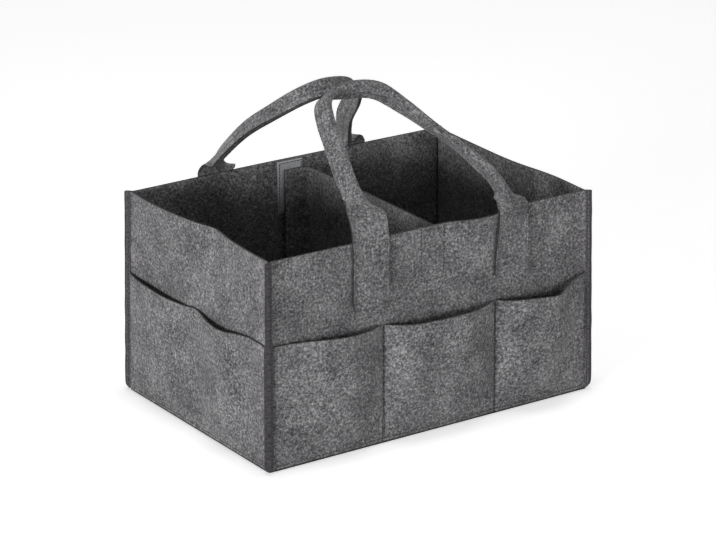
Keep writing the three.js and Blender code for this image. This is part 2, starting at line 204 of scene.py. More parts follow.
class CaddyColourSettings(bpy.types.PropertyGroup):
    """Colours of the materials"""

    felt_dark: colour("Dark fibre", "Darkest fibres of the felt", "#2a292b")
    felt_mid: colour("Middle fibre", "Most of the felt", "#656466")
    felt_light: colour("Light fibre", "Lightest fibres of the felt", "#b0afb0")
    tape: colour("Binding tape", "Woven tape over the corner seams", "#302e31")
    thread: colour("Thread", "Sewing thread of the body", "#1d1c1e")
    strap_thread: colour("Strap thread", "Sewing thread of the handles", "#4c4b4d")
    loop_tape: colour("Loop tape", "Looped side of the fastener", "#b4b5b9")
    hook_tape: colour("Hook tape", "Hooked side of the fastener", "#6c6d71")
    board: colour("Board", "Stiff board under the floor felt", "#8a7a66")
    floor: colour("Floor", "Floor and backdrop", "#ffffff")


class CaddyStageSettings(bpy.types.PropertyGroup):
    """Camera and lamps"""

    camera_place: bpy.props.FloatVectorProperty(
        name="Camera place", description="Where the camera stands",
        default=(-1.7834, -2.6089, 1.2823), size=3, subtype="TRANSLATION", unit="LENGTH",
    )
    camera_turn: angle("Camera turn", "Angle of the view about Z", -34.350)
    camera_height: angle("Camera height angle", "How steeply the camera looks down", 20.055)
    lens: bpy.props.FloatProperty(
        name="Lens", description="Focal length in millimetres for a 36 mm sensor", default=168.18,
        unit="CAMERA",
    )
    key_power: power("Key lamp", "Power of the large lamp on the left", 89.0)
    fill_power: power("Fill lamp", "Power of the lamp on the right", 27.0)
    top_power: power("Top lamp", "Power of the lamp straight above", 26.0)
    sky_behind: factor("Sky behind", "Strength of the even light from behind the caddy", 1.1)
    sky_before: factor("Sky before", "Strength of the even light from the lamps' side", 0.37)
    sky_above: factor(
        "Sky above", "Share of the even light that comes from straight above", 0.22, high=1
    )


# Each side is described as the front one, facing -Y, and turned about Z to its place.
# half: half the side's length. inner: distance of the wall's inner face from the middle.
# seams: places along of the seams that divide its pockets. rim: (place along, bow outward) of the rim.
# mouth: (place along, bulge outward, height) of the pockets' upper edge.
SIDES = {
    "front": {
        "turn": 0.0,
        "half": HALF_LENGTH,
        "inner": INNER_DEPTH,
        "seams": (-0.0595, 0.0745),
        "rim": (
            (-0.190, 0), (-0.120, 0.001), (-0.055, 0.002), (-0.005, 0.0012), (0.022, 0.003),
            (0.040, 0.009), (0.062, 0.011), (0.082, 0.007), (0.110, 0), (0.190, 0),
        ),
        "mouth": (
            (-0.190, 0, 0.128), (-0.164, 0.004, 0.1285), (-0.134, 0.010, 0.127),
            (-0.108, 0.013, 0.1255), (-0.082, 0.009, 0.1245), (-0.0595, 0, 0.1235),
            (-0.046, 0.010, 0.1235), (-0.028, 0.015, 0.1225), (0.004, 0.016, 0.1215),
            (0.036, 0.0155, 0.1215), (0.058, 0.008, 0.121), (0.0745, 0, 0.1205),
            (0.090, 0.012, 0.1205), (0.110, 0.019, 0.1205), (0.128, 0.0205, 0.119),
            (0.143, 0.018, 0.1175), (0.155, 0.011, 0.120), (0.169, 0.005, 0.124), (0.190, 0, 0.128),
        ),
    },
    "rear": {
        "turn": math.pi,
        "half": HALF_LENGTH,
        "inner": INNER_DEPTH,
        "seams": (-0.0595, 0.0745),
        "rim": (
            (-0.190, 0), (-0.110, 0.001), (-0.040, 0.0015), (0.030, 0.002), (0.120, 0.001), (0.190, 0),
        ),
        "mouth": (
            (-0.190, 0, 0.1275), (-0.165, 0.006, 0.1265), (-0.125, 0.012, 0.124),
            (-0.085, 0.009, 0.124), (-0.0595, 0, 0.1245), (-0.040, 0.009, 0.1235),
            (0.006, 0.013, 0.1225), (0.052, 0.009, 0.1235), (0.0745, 0, 0.1245),
            (0.098, 0.009, 0.1235), (0.130, 0.012, 0.1235), (0.168, 0.006, 0.1265),
            (0.190, 0, 0.1275),
        ),
    },
    "left": {
        "turn": -RIGHT_ANGLE,
        "half": HALF_DEPTH,
        "inner": INNER_LENGTH,
        "seams": (),
        "rim": (
            (-0.128, 0), (-0.095, 0.003), (-0.060, 0.002), (-0.030, 0), (-0.006, -0.004),
            (0.014, -0.0085), (0.032, -0.007), (0.048, -0.004), (0.075, -0.0015), (0.105, 0),
            (0.128, 0),
        ),
        "mouth": (
            (-0.128, 0, 0.128), (-0.112, 0.003, 0.1265), (-0.088, 0.006, 0.1265),
            (-0.054, 0.0065, 0.1255), (-0.024, 0.003, 0.1255), (-0.007, 0.0005, 0.127),
            (0.002, 0.0005, 0.1275), (0.017, 0.003, 0.1255), (0.034, 0.0065, 0.1245),
            (0.058, 0.008, 0.1250), (0.080, 0.0035, 0.1275), (0.098, 0, 0.1285), (0.128, 0, 0.1275),
        ),
    },
    "right": {
        "turn": RIGHT_ANGLE,
        "half": HALF_DEPTH,
        "inner": INNER_LENGTH,
        "seams": (),
        "rim": ((-0.128, 0), (-0.070, 0.002), (-0.010, -0.004), (0.060, -0.003), (0.128, 0)),
        "mouth": (
            (-0.128, 0, 0.1275), (-0.095, 0.004, 0.126), (-0.060, 0.008, 0.1245),
            (-0.024, 0.003, 0.1255), (-0.006, 0.0005, 0.127), (0.014, 0.003, 0.1255),
            (0.055, 0.008, 0.1245), (0.095, 0.004, 0.1265), (0.128, 0, 0.1275),
        ),
    },
}

# Each handle is described in its side's own places. A pair holds the leg that comes first along the side,
# and then the other one.
# side: the wall that it is sewn to. ends: the CAD nodes of its flat ends.
# centre, half_span, rise: place along of its middle, half the distance between its feet, and its height
# above them. short: how far before the middle of the caddy it ends.
# lean_bow: how much its lean inward grows with its height. leans: where a leg starts to follow the loop.
# flats, flares: how far a leg stays flat above its foot, and the length over which it then folds.
# draws: how far half-folded felt is drawn together. roll_in: the length over which its roll sets in.
# rolls: (share of the way along the loop, degrees that the folded strap turns about its ridge).
# route: the ridge line as shares of half the span across and of the rise up.
HANDLES = {
    "front": {
        "side": "front",
        "centre": 0.0095,
        "half_span": 0.084,
        "rise": 0.1135,
        "short": 0.009,
        "lean_bow": 0.15,
        "flats": (0.022, -0.002),
        "flares": (0.04, 0.026),
        "roll_in": (0.07, 0.04),
        "draws": (0.9, 0.9),
        "leans": (0.008, 0),
        "ends": ("front_handle_left_end", "front_handle_right_end"),
        "rolls": (
            (0, 20), (0.1, 40), (0.18, 48), (0.27, 34), (0.36, 28), (0.41, 18), (0.455, -8),
            (0.5, -17), (0.57, -14), (0.62, 0), (0.68, 14), (0.76, 25), (0.82, 20), (0.87, 14),
            (0.92, 10), (0.96, 0), (1, -12),
        ),
        "route": (
            (-1, 0), (-0.965, 0.12), (-0.905, 0.27), (-0.86, 0.4), (-0.82, 0.55), (-0.788, 0.68),
            (-0.748, 0.81), (-0.66, 0.93), (-0.44, 0.995), (-0.1, 1), (0.12, 0.955), (0.3, 0.82),
            (0.53, 0.61), (0.79, 0.42), (0.955, 0.27), (1.005, 0.13), (1, 0),
        ),
    },
    "rear": {
        "side": "rear",
        "centre": 0.006,
        "half_span": 0.081,
        "rise": 0.1125,
        "short": 0.0205,
        "lean_bow": 0.3,
        "flats": (-0.004, -0.001),
        "flares": (0.034, 0.027),
        "roll_in": (0.05, 0.024),
        "draws": (0.9, 0.45),
        "leans": (0, 0),
        "ends": ("rear_handle_right_end", "rear_handle_left_end"),
        "rolls": (
            (0, 10), (0.25, 18), (0.5, 15), (0.6, 19), (0.7, 28), (0.8, 35), (0.9, 42), (0.96, 46),
            (1, 46),
        ),
        "route": (
            (-1, 0), (-0.82, 0.15), (-0.64, 0.32), (-0.48, 0.5), (-0.36, 0.75), (-0.18, 0.92),
            (0.08, 0.99), (0.34, 1), (0.55, 0.925), (0.78, 0.73), (0.94, 0.58), (1.015, 0.38),
            (1.01, 0.22), (0.99, 0.1), (1, 0),
        ),
    },
}

# How the felt of the body gives way
WAVE_FADE = 6  # power that keeps the soft waves away from the corners
WAVE_ROWS = 4  # rows of faces above the floor over which the soft waves set in
SEAM_RISE = 6 * MM  # how far beside its seam a pocket panel has come free of it
SEAM_COLUMNS = (-1, -0.65, -0.35, -0.12, 0.12, 0.35, 0.65, 1)  # columns beside a seam, in press reaches
POCKET_ROWS = 1.2  # a pocket panel has so many rows for each row of a wall
CORNER_BEND = 2.5 * MM  # length of a wall that bends into its allowance
CORNER_FACES = 4  # columns of faces round that bend
ALLOWANCE_FACES = 2  # columns of faces on an allowance
ALLOWANCE_AWAY = 0.7  # share of its distance outward that a sheet keeps between the tapes
ALLOWANCE_FELT = 0.66  # share of its thickness that it keeps there
CORNER_FREE = 1 * MM  # least distance of a wall's last column from the bend
FLOOR_FACE = 12 * MM  # width of one face of the floor felt
FLOOR_PAST_TUCK = 1.2 * MM  # how far the floor's cut corners reach out under the bindings
LINING_CORNER = 2 * MM  # cut at the corners of the floor's lining

# How a tape lies on its corner seam
TAPE_ROW = 4 * MM  # height of one face of a tape
TAPE_FLAT_FACES = 6  # columns of faces on each flat side
TAPE_NOSE_FACES = 8  # columns of faces round the fold
TAPE_BELOW_RIM = 0.4 * MM  # how far a tape ends below the rim
TAPE_EDGE = 0.2 * MM  # rounding of its edges
TAPE_WANDER = 0.35 * MM  # how far it wanders in and out along the seam
TAPE_WANDERS = 60  # how often it does so in a metre
TAPE_PINCH = 0.08  # share of its width that comes and goes along the seam
TAPE_PINCHES = 110  # how often it does so in a metre
TAPE_SEAM_INSET = 1.8 * MM  # distance of its stitches from its edges
TAPE_SEAM_FOOT = 3 * MM  # height at which its stitches start above its lower end
TAPE_SEAM_TOP = 2 * MM  # how far below its upper end they stop

# How a handle's felt behaves
FOOT_TURN = 16 * MM  # length of a leg over which it turns from upright to the loop's lean
FOOT_HELD = 30 * MM  # length of a leg over which it leaves the waves of its wall
UPRIGHT_SHARE = 0.42  # share of the rise over which stiff felt holds a leg more upright
UPRIGHT_EASE = 0.8  # how much of the lean that takes away
SLOPE_STEP = 0.01  # share of the rise over which its slope is measured
LIFT_FADE = 12 * MM  # height below the rim over which a flat end's border lies down on the wall
SEWN_FOLD = 0.9  # share of a right angle from which on the folded edges are sewn together
BORDER_SLACK = 1 * MM  # how much nearer to the strap's end its border seam may run
BORDER_STEPS = 10  # steps in which that seam crosses the strap
LOOP_ROWS = 120  # rows of faces along a loop
END_ROW = 3.5 * MM  # height of one face of a flat end
FOLD_FACES = 7  # columns of faces on half of the fold
ARM_FACES = 5  # columns of faces from the fold to an edge

# The divider and the fasteners
TAB_COLUMN = 3 * MM  # width of one face of a tab
PANEL_COLUMN = 6 * MM  # width of one face of the divider's panel
TAB_HOLD = 8 * MM  # how far from its ends the divider's panel is held straight
BOW_PART = 0.8  # part of half a wave that the bow makes from the divider's foot to its top
BEND_FACES = 6  # columns of faces round the fold into a tab
PILE_FACE = 1.5 * MM  # width of one face of a pile or hook tape
PILE_EDGE = 0.25 * MM  # rounding of its edges

# Where the body is sewn
FOOT_SEAM = 3.2 * MM  # height of the lowest seam above the walls' lower edge
FOOT_SEAM_END = 4 * MM  # distance of its ends from the corners
FOOT_SEAM_STEP = 6 * MM  # distance between the places that it goes through
UPRIGHT_SEAM_FOOT = 2 * MM  # height at which the seams between pockets start
UPRIGHT_SEAM_TOP = 1 * MM  # how far below the pockets' mouths they stop
UPRIGHT_SEAM_STEP = 4 * MM
TACK = 8 * MM  # length of the short seam that divides the pockets of a short side
TACK_STEP = 2 * MM
TACK_PLACE = -3 * MM  # its place along the side
PATCH_INSET = 1.6 * MM  # distance of a patch's seam from its edge
PATCH_PILE = 1.9 * MM  # how far the pile stands inward of the wall's inner face
PATCH_STEPS = 12  # places on each side of a patch that its seam goes through

# One stitch from end to end: (half lengths along, thread radii across, thread radii up)
STITCH_RINGS = ((-1, 0.35, -0.6), (-0.62, 1, 0.1), (0, 1, 0.35), (0.62, 1, 0.1), (1, 0.35, -0.6))
STITCH_SIDES = 6


# Small measures


def smooth(share):
    """Rises softly from 0 to 1 as a share does."""
    share = min(max(share, 0.0), 1.0)
    return share * share * (3 - 2 * share)


def mix(a, b, share):
    """The value that lies at a share of the way from a to b."""
    return a + (b - a) * share


def line_value(points, along, column=1):
    """The height of a smooth line through points at a place along it."""
    if along <= points[0][0]:
        return points[0][column]
    for index, (a, b) in enumerate(zip(points, points[1:])):
        if along <= b[0]:
            before = points[max(index - 1, 0)]
            after = points[min(index + 2, len(points) - 1)]
            span = b[0] - a[0]
            share = (along - a[0]) / span
            slope_a = (b[column] - before[column]) / (b[0] - before[0]) * span
            slope_b = (after[column] - a[column]) / (after[0] - a[0]) * span
            square, cube = share * share, share * share * share
            return (
                (2 * cube - 3 * square + 1) * a[column] + (cube - 2 * square + share) * slope_a
                + (3 * square - 2 * cube) * b[column] + (cube - square) * slope_b
            )
    return points[-1][column]


def stops_between(marks, step):
    """Places from the first mark to the last, about a step apart, with every mark among them."""
    stops = [marks[0]]
    for a, b in zip(marks, marks[1:]):
        count = max(round((b - a) / step), 1)
        stops += [mix(a, b, (i + 1) / count) for i in range(count)]
    return stops


def turned(side, along, out, z):
    """The point of a side that is given by its place along, its distance outward and its height."""
    turn = SIDES[side]["turn"]
    c, s = math.cos(turn), math.sin(turn)
    return Vector((along * c + out * s, along * s - out * c, z))


def settings():
    """The caddy's property groups."""
    return bpy.context.scene.felt_caddy


def spread_at(z):
    """How far the walls stand outward at the floor, and inward at the rim."""
    spread = settings().body.spread
    return mix(spread, -spread, z / RIM_HEIGHT)


def wall_shift(side, along, z):
    """How far outward a side stands from its plan place at a height: spread, bow and soft waves.

    Above the pockets it bows like a plate that is held at their mouths and free at the rim.
    """
    body = settings().body
    facts = SIDES[side]
    above = max(z - MOUTH_HEIGHT, 0) / (RIM_HEIGHT - MOUTH_HEIGHT)
    bow = line_value(facts["rim"], along) * above * above * (3 - above) / 2
    inside = 1 - min(abs(along) / facts["half"], 1) ** WAVE_FADE
    place = Vector((along / body.wave, z / body.wave, facts["turn"]))
    rise = smooth(z / (WAVE_ROWS * body.row))
    return spread_at(z) + bow + body.unevenness * noise.noise(place) * inside * rise


def pocket_shift(side, along, z):
    """How far a pocket panel stands out from the wall. It is sewn down at the seams and the floor."""
    facts = SIDES[side]
    share = min(max(z - WALL_BASE, 0) / (MOUTH_HEIGHT - WALL_BASE), 1)
    drift = max(line_value(facts["mouth"], along), 0) * (1 - (1 - share) ** 2)
    for seam in facts["seams"]:
        drift *= smooth(abs(along - seam) / SEAM_RISE)
    return drift


def seam_press(side, along):
    """How much a seam presses a pocket panel at a place, from 0 to 1."""
    near = min((abs(along - seam) for seam in SIDES[side]["seams"]), default=1)
    return 1 - smooth(near / settings().body.press_reach)


def tuck_at(z):
    """How far the bound seams are rounded off near the floor."""
    body = settings().body
    low = min(max(1 - (z - WALL_BASE) / body.tuck_height, 0), 1)
    return body.tuck * (1 - math.sqrt(1 - low * low))


# Modelling


def select_only(piece):
    """Deselects everything else and makes a piece the active one."""
    bpy.ops.object.select_all(action="DESELECT")
    piece.select_set(True)
    bpy.context.view_layer.objects.active = piece


def grid_piece(name, columns, rows, place, flat_size):
    """A grid of faces whose corners are moved to place(column, row)."""
    bpy.ops.object.select_all(action="DESELECT")
    bpy.ops.mesh.primitive_grid_add(
        x_subdivisions=columns, y_subdivisions=rows, size=1, location=(0, 0, 0)
    )
    piece = bpy.context.object
    piece.name = piece.data.name = name
    for vertex in piece.data.vertices:
        column = round((vertex.co.x + 0.5) * columns)
        row = round((vertex.co.y + 0.5) * rows)
        vertex.co = place(column, row)
    for corner in piece.data.uv_layers.active.data:
        corner.uv = (corner.uv[0] * flat_size[0], corner.uv[1] * flat_size[1])
    return piece


def apply_modifier(piece, kind, **values):
    """Adds a modifier with its settings and applies it."""
    select_only(piece)
    modifier = piece.modifiers.new(kind.title(), kind)
    for key, value in values.items():
        setattr(modifier, key, value)
    bpy.ops.object.modifier_apply(modifier=modifier.name)


def outward(piece):
    """Turns every face outward."""
    select_only(piece)
    bpy.ops.object.mode_set(mode="EDIT")
    bpy.ops.mesh.select_all(action="SELECT")
    bpy.ops.mesh.normals_make_consistent(inside=False)
    bpy.ops.object.mode_set(mode="OBJECT")


def thicken(piece, thickness, edge, thin=None):
    """Gives a sheet its thickness about its middle surface and rounds its cut edges.

    thin maps a vertex index to the share of the thickness that it keeps.
    """
    extra = {"material_offset_rim": 1}
    while len(piece.data.materials) < 2:
        piece.data.materials.append(None)
    if thin:
        kept = piece.vertex_groups.new(name="thickness")
        for vertex in piece.data.vertices:
            kept.add([vertex.index], thin.get(vertex.index, 1.0), "REPLACE")
        extra.update(vertex_group=kept.name, thickness_vertex_group=0.0)
    apply_modifier(
        piece, "SOLIDIFY", thickness=thickness, offset=0, use_even_offset=True, use_rim=True, **extra
    )
    outward(piece)
    if edge > 0:
        apply_modifier(
            piece, "BEVEL", width=edge, segments=2, limit_method="ANGLE",
            angle_limit=math.radians(60),
        )
    select_only(piece)
    bpy.ops.object.shade_smooth_by_angle(angle=math.radians(50))


def finish_piece(piece, material, body=None, shaded_cut_edge=None):
    """Gives a piece its material, another one on its cut edges, and its body."""
    slots = piece.data.materials
    if len(slots) == 0:
        slots.append(material)
    # The cut edges take the darkened cut felt, whose dark is painted shade.
    for i in range(len(slots)):
        slots[i] = shaded_cut_edge if i and shaded_cut_edge else material
    if body:
        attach(piece, body)
    return piece


def thread_piece(name, seams, body=None, material="polyester_thread"):
    """One piece for all the stitches of some seams. A seam is a list of (point, outward normal)."""
    thread = settings().thread
    sides = STITCH_SIDES
    points, faces = [], []
    for seam in seams:
        for at, along, normal in stitch_places(seam, thread.pitch):
            across = normal.cross(along).normalized()
            first = len(points)
            for lengthwise, thick, lift in STITCH_RINGS:
                middle = at + along * lengthwise * thread.stitch / 2
                middle += normal * lift * thread.thread
                for i in range(sides):
                    turn = 2 * math.pi * i / sides
                    ray = across * math.cos(turn) + normal * math.sin(turn)
                    points.append(middle + ray * thread.thread * thick)
            for ring in range(len(STITCH_RINGS) - 1):
                for i in range(sides):
                    a = first + ring * sides + i
                    b = first + ring * sides + (i + 1) % sides
                    faces.append((a, b, b + sides, a + sides))
            last = first + (len(STITCH_RINGS) - 1) * sides
            faces.append(tuple(first + i for i in reversed(range(sides))))
            faces.append(tuple(last + i for i in range(sides)))
    mesh = bpy.data.meshes.new(name)
    mesh.from_pydata([tuple(p) for p in points], [], faces)
    piece = bpy.data.objects.new(name, mesh)
    bpy.context.scene.collection.objects.link(piece)
    outward(piece)
    bpy.ops.object.shade_smooth()
    return finish_piece(piece, MATERIALS[material], body)


def stitch_places(seam, pitch):
    """(point, direction, normal) of each stitch along a seam."""
    walked = 0.0
    target = pitch / 2
    for (a, normal_a), (b, normal_b) in zip(seam, seam[1:]):
        step = (b - a).length
        if step < 1e-7:
            continue
        while target <= walked + step:
            share = (target - walked) / step
            normal = normal_a.lerp(normal_b, share).normalized()
            yield a.lerp(b, share), (b - a).normalized(), normal
            target += pitch
        walked += step


# Felt sheets


def corner_line(side, out, stops):
    """The plan line of a sheet's middle: its turned-out allowance, the wall between, and the other one.

    Each entry is (along, away, share of the way into the allowance, or None on the wall).
    """
    body = settings().body
    facts = SIDES[side]
    corner = facts["half"] - FELT_SHEET - SEAM_GAP * DIAGONAL
    pressed = out * ALLOWANCE_AWAY

    def on_diagonal(along):
        return corner + (along - pressed) * DIAGONAL, facts["inner"] + (along + pressed) * DIAGONAL

    bend = (corner - out * math.tan(math.pi / 8), facts["inner"] + out)
    before = (bend[0] - CORNER_BEND, bend[1])
    after = on_diagonal(body.neck)
    end = []
    for i in range(CORNER_FACES):
        t = (i + 0.5) / CORNER_FACES
        point = [
            (1 - t) ** 2 * p + 2 * t * (1 - t) * q + t * t * r for p, q, r in zip(before, bend, after)
        ]
        end.append((*point, 0.0 if i >= CORNER_FACES / 2 else None))
    for i in range(ALLOWANCE_FACES + 1):
        share = i / ALLOWANCE_FACES
        end.append((*on_diagonal(mix(body.neck, body.allowance, share)), share))
    middle = [
        (along, facts["inner"] + out, None) for along in stops if abs(along) < before[0] - CORNER_FREE
    ]
    start = [(-along, away, turned_out) for along, away, turned_out in reversed(end)]
    return start + middle + end


def felt_side(name, side, out, low, height_at, shift_at, rows, pressed=False):
    """A felt sheet on one side of the body, from a height up to height_at(along)."""
    body = settings().body
    facts = SIDES[side]
    reach = facts["half"] - FELT_SHEET
    marks = [-reach, reach]
    if pressed:
        for seam in facts["seams"]:
            marks += [seam + share * body.press_reach for share in SEAM_COLUMNS]
    stops = stops_between(sorted(marks), body.column)
    plan = corner_line(side, out, stops)

    def place(column, row):
        along, away, turned_out = plan[column]
        held = max(min(along, facts["half"]), -facts["half"])
        z = mix(low, height_at(held), row / rows)
        spread = spread_at(z) * held / facts["half"]
        if turned_out is not None:
            tuck = tuck_at(z) * turned_out * DIAGONAL
            shift = shift_at(math.copysign(facts["half"], along), z)
            return turned(side, along + spread - math.copysign(tuck, along), away + shift - tuck, z)
        shift = shift_at(held, z)
        if pressed:
            shift -= body.press / 2 * seam_press(side, along)
        return turned(side, along + spread, away + shift, z)

    flat = (sum(math.dist(a[:2], b[:2]) for a, b in zip(plan, plan[1:])), height_at(0) - low)
    piece = grid_piece(name, len(plan) - 1, rows, place, flat)
    thin = {}
    columns = len(plan)
    for vertex in piece.data.vertices:
        along, _, turned_out = plan[vertex.index % columns]
        if turned_out is not None:
            thin[vertex.index] = ALLOWANCE_FELT
        elif pressed and seam_press(side, along) > 0:
            thin[vertex.index] = 1 - body.press / body.felt * seam_press(side, along)
    thicken(piece, body.felt, body.raw_edge, thin)
    return piece, flat


class CADDY_OT_walls(bpy.types.Operator):
    """Builds the four felt walls with their turned-out seam allowances"""

    bl_idname = "felt_caddy.walls"
    bl_label = "Walls"

    def execute(self, context):
        body = settings().body
        rows = round((RIM_HEIGHT - WALL_BASE) / body.row)
        for side in SIDES:
            piece, flat = felt_side(
                f"{side}_wall_felt", side, body.felt / 2, WALL_BASE, lambda along: RIM_HEIGHT,
                lambda along, z, side=side: wall_shift(side, along, z), rows,
            )
            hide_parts(f"{side}_wall")
            finish_piece(piece, MATERIALS["needle_felt"], "caddy", MATERIALS["cut_felt"])
        return {"FINISHED"}


class CADDY_OT_pockets(bpy.types.Operator):
    """Builds the pocket panels, which stand off the walls between their seams"""

    bl_idname = "felt_caddy.pockets"
    bl_label = "Pockets"

    def execute(self, context):
        body = settings().body
        rows = round((MOUTH_HEIGHT - WALL_BASE) / body.row * POCKET_ROWS)
        for side, facts in SIDES.items():
            piece, flat = felt_side(
                f"{side}_pocket_felt", side, NEXT_SHEET + body.felt / 2, WALL_BASE,
                lambda along, mouth=facts["mouth"]: line_value(mouth, along, 2),
                lambda along, z, side=side: wall_shift(side, along, z) + pocket_shift(side, along, z),
                rows, pressed=True,
            )
            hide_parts(f"{side}_pocket_panel")
            finish_piece(piece, MATERIALS["needle_felt"], "caddy", MATERIALS["cut_felt"])
        return {"FINISHED"}


class CADDY_OT_floor(bpy.types.Operator):
    """Builds the floor felt under the body and the loose felt that lines it"""

    bl_idname = "felt_caddy.floor"
    bl_label = "Floor"

    def execute(self, context):
        body = settings().body
        half_x, half_y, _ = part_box("base_panel")[1]
        # The corners reach out under the ends of the bindings.
        corner_reach = body.allowance - body.tuck + FLOOR_PAST_TUCK
        cut = half_x - INNER_LENGTH + half_y - INNER_DEPTH - corner_reach * math.sqrt(2)
        for name, node, corner in (
            ("floor_felt", "base_panel", cut),
            ("floor_lining_felt", "base_liner", LINING_CORNER),
        ):
            half_x, half_y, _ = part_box(node)[1]
            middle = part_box(node)[0].z + body.felt / 2
            across = stops_between([-half_x, corner - half_x, half_x - corner, half_x], FLOOR_FACE)
            deep = stops_between([-half_y, corner - half_y, half_y - corner, half_y], FLOOR_FACE)

            def place(column, row):
                x, y = across[column], deep[row]
                if column in (0, len(across) - 1) and row in (0, len(deep) - 1):
                    x -= math.copysign(corner / 2, x)
                    y -= math.copysign(corner / 2, y)
                return Vector((x, y, middle))

            flat = (2 * half_x, 2 * half_y)
            piece = grid_piece(name, len(across) - 1, len(deep) - 1, place, flat)
            thicken(piece, body.felt, body.raw_edge)
            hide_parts(node)
            finish_piece(piece, MATERIALS["needle_felt"], "caddy", MATERIALS["cut_felt"])
        node = frame["nodes"]["base_board"]
        node.data.materials.clear()
        node.data.materials.append(MATERIALS["grey_board"])
        return {"FINISHED"}


def bound_half(z):
    """Half the width of a bound seam at a height. It is wider beside the pockets."""
    tape = settings().tape
    return mix(tape.half_above, tape.half_below, 1 - smooth((z - MOUTH_HEIGHT) / tape.step))


def tape_section(start, nose):
    """A tape's section round its seam: (distance out along the diagonal, share of the half width)."""
    fold = settings().tape.nose
    flat = [mix(start, nose - fold, i / TAPE_FLAT_FACES) for i in range(TAPE_FLAT_FACES + 1)]
    section = [(reach, -1.0) for reach in flat]
    for i in range(1, TAPE_NOSE_FACES):
        turn = -RIGHT_ANGLE + math.pi * i / TAPE_NOSE_FACES
        section.append((nose - fold + fold * math.cos(turn), math.sin(turn)))
    flat = [mix(nose - fold, start, i / TAPE_FLAT_FACES) for i in range(TAPE_FLAT_FACES + 1)]
    return section + [(reach, 1.0) for reach in flat]


def build_binding(end_name, side_name, x_sign, y_sign):
    """Makes the tape of one corner seam and the stitches through it."""
    body, tape = settings().body, settings().tape
    start = body.neck + SEAM_GAP
    nose = body.allowance + SEAM_GAP + tape.thickness / 2
    corner = Vector((x_sign * INNER_LENGTH, y_sign * INNER_DEPTH, 0))
    away = Vector((x_sign, y_sign, 0)).normalized()
    across = Vector((0, 0, 1)).cross(away)
    low, high = WALL_BASE, RIM_HEIGHT - TAPE_BELOW_RIM
    rows = round((high - low) / TAPE_ROW)
    section = tape_section(start, nose)

    def place(column, row):
        z = mix(low, high, row / rows)
        reach, side = section[column]
        reach -= tuck_at(z) * smooth((reach - start) / (nose - start))
        wander = TAPE_WANDER * noise.noise(Vector((z * TAPE_WANDERS, x_sign * 3.0, y_sign * 5.0)))
        pinched = noise.noise(Vector((z * TAPE_PINCHES, x_sign * 7.0, y_sign * 2.0)))
        half = bound_half(z) * (1 + TAPE_PINCH * pinched)
        shift = spread_at(z) * math.sqrt(2) + wander
        return corner + away * (reach + shift) + across * (side * half) + Vector((0, 0, z))

    name = f"{end_name}_{side_name}_binding"
    flat = (2 * (nose - start) + 2 * tape.half_above, high - low)
    piece = grid_piece(f"{name}_tape", len(section) - 1, rows, place, flat)
    thicken(piece, tape.thickness, TAPE_EDGE)
    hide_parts(name)
    finish_piece(piece, MATERIALS["woven_tape"], "caddy")
    seams = []
    for side in (-1, 1):
        seam = []
        for row in range(rows + 1):
            z = mix(low + TAPE_SEAM_FOOT, high - TAPE_SEAM_TOP, row / rows)
            reach = start + TAPE_SEAM_INSET + spread_at(z) * math.sqrt(2)
            point = corner + away * reach + across * (side * (bound_half(z) + tape.thickness / 2))
            seam.append((point + Vector((0, 0, z)), across * side))
        seams.append(seam)
    thread_piece(f"{name}_thread", seams, "caddy")


class CADDY_OT_bindings(bpy.types.Operator):
    """Builds the woven tapes that are folded over the corner seams"""

    bl_idname = "felt_caddy.bindings"
    bl_label = "Corner bindings"

    def execute(self, context):
        for end_name, y_sign in (("front", -1), ("rear", 1)):
            for side_name, x_sign in (("left", -1), ("right", 1)):
                build_binding(end_name, side_name, x_sign, y_sign)
        return {"FINISHED"}


# Handles


def fold_section(turn, draw=0):
    """Half of a folded strap's section: (across, inward) from its middle to one edge.

    The strap starts to fold as a wide curl, which closes to the bend round the ridge. Half-folded felt is
    drawn together by draw, so that its edges take a short way from flat to folded.
    """
    handle = settings().handle
    half, radius = handle.width / 2, handle.fold_radius
    closed = min(turn / RIGHT_ANGLE, 1)
    bend = mix(half * handle.curl, radius * RIGHT_ANGLE, closed)
    steps = [(bend / FOLD_FACES, turn * (i + 0.5) / FOLD_FACES) for i in range(FOLD_FACES)]
    steps += [((half - bend) / ARM_FACES, turn)] * ARM_FACES
    stops = [(0.0, 0.0)]
    for step, heading in steps:
        across, inward = stops[-1]
        stops.append((across + step * math.cos(heading), inward + step * math.sin(heading)))
    folded_edge = Vector((radius, half - radius * (RIGHT_ANGLE - 1)))
    chord = Vector((half, 0)).lerp(folded_edge, closed).length
    drawn = draw * 4 * closed * (1 - closed)
    pull = 1 - drawn * (1 - chord / Vector(stops[-1]).length)
    return [(across * pull, inward * pull) for across, inward in stops]


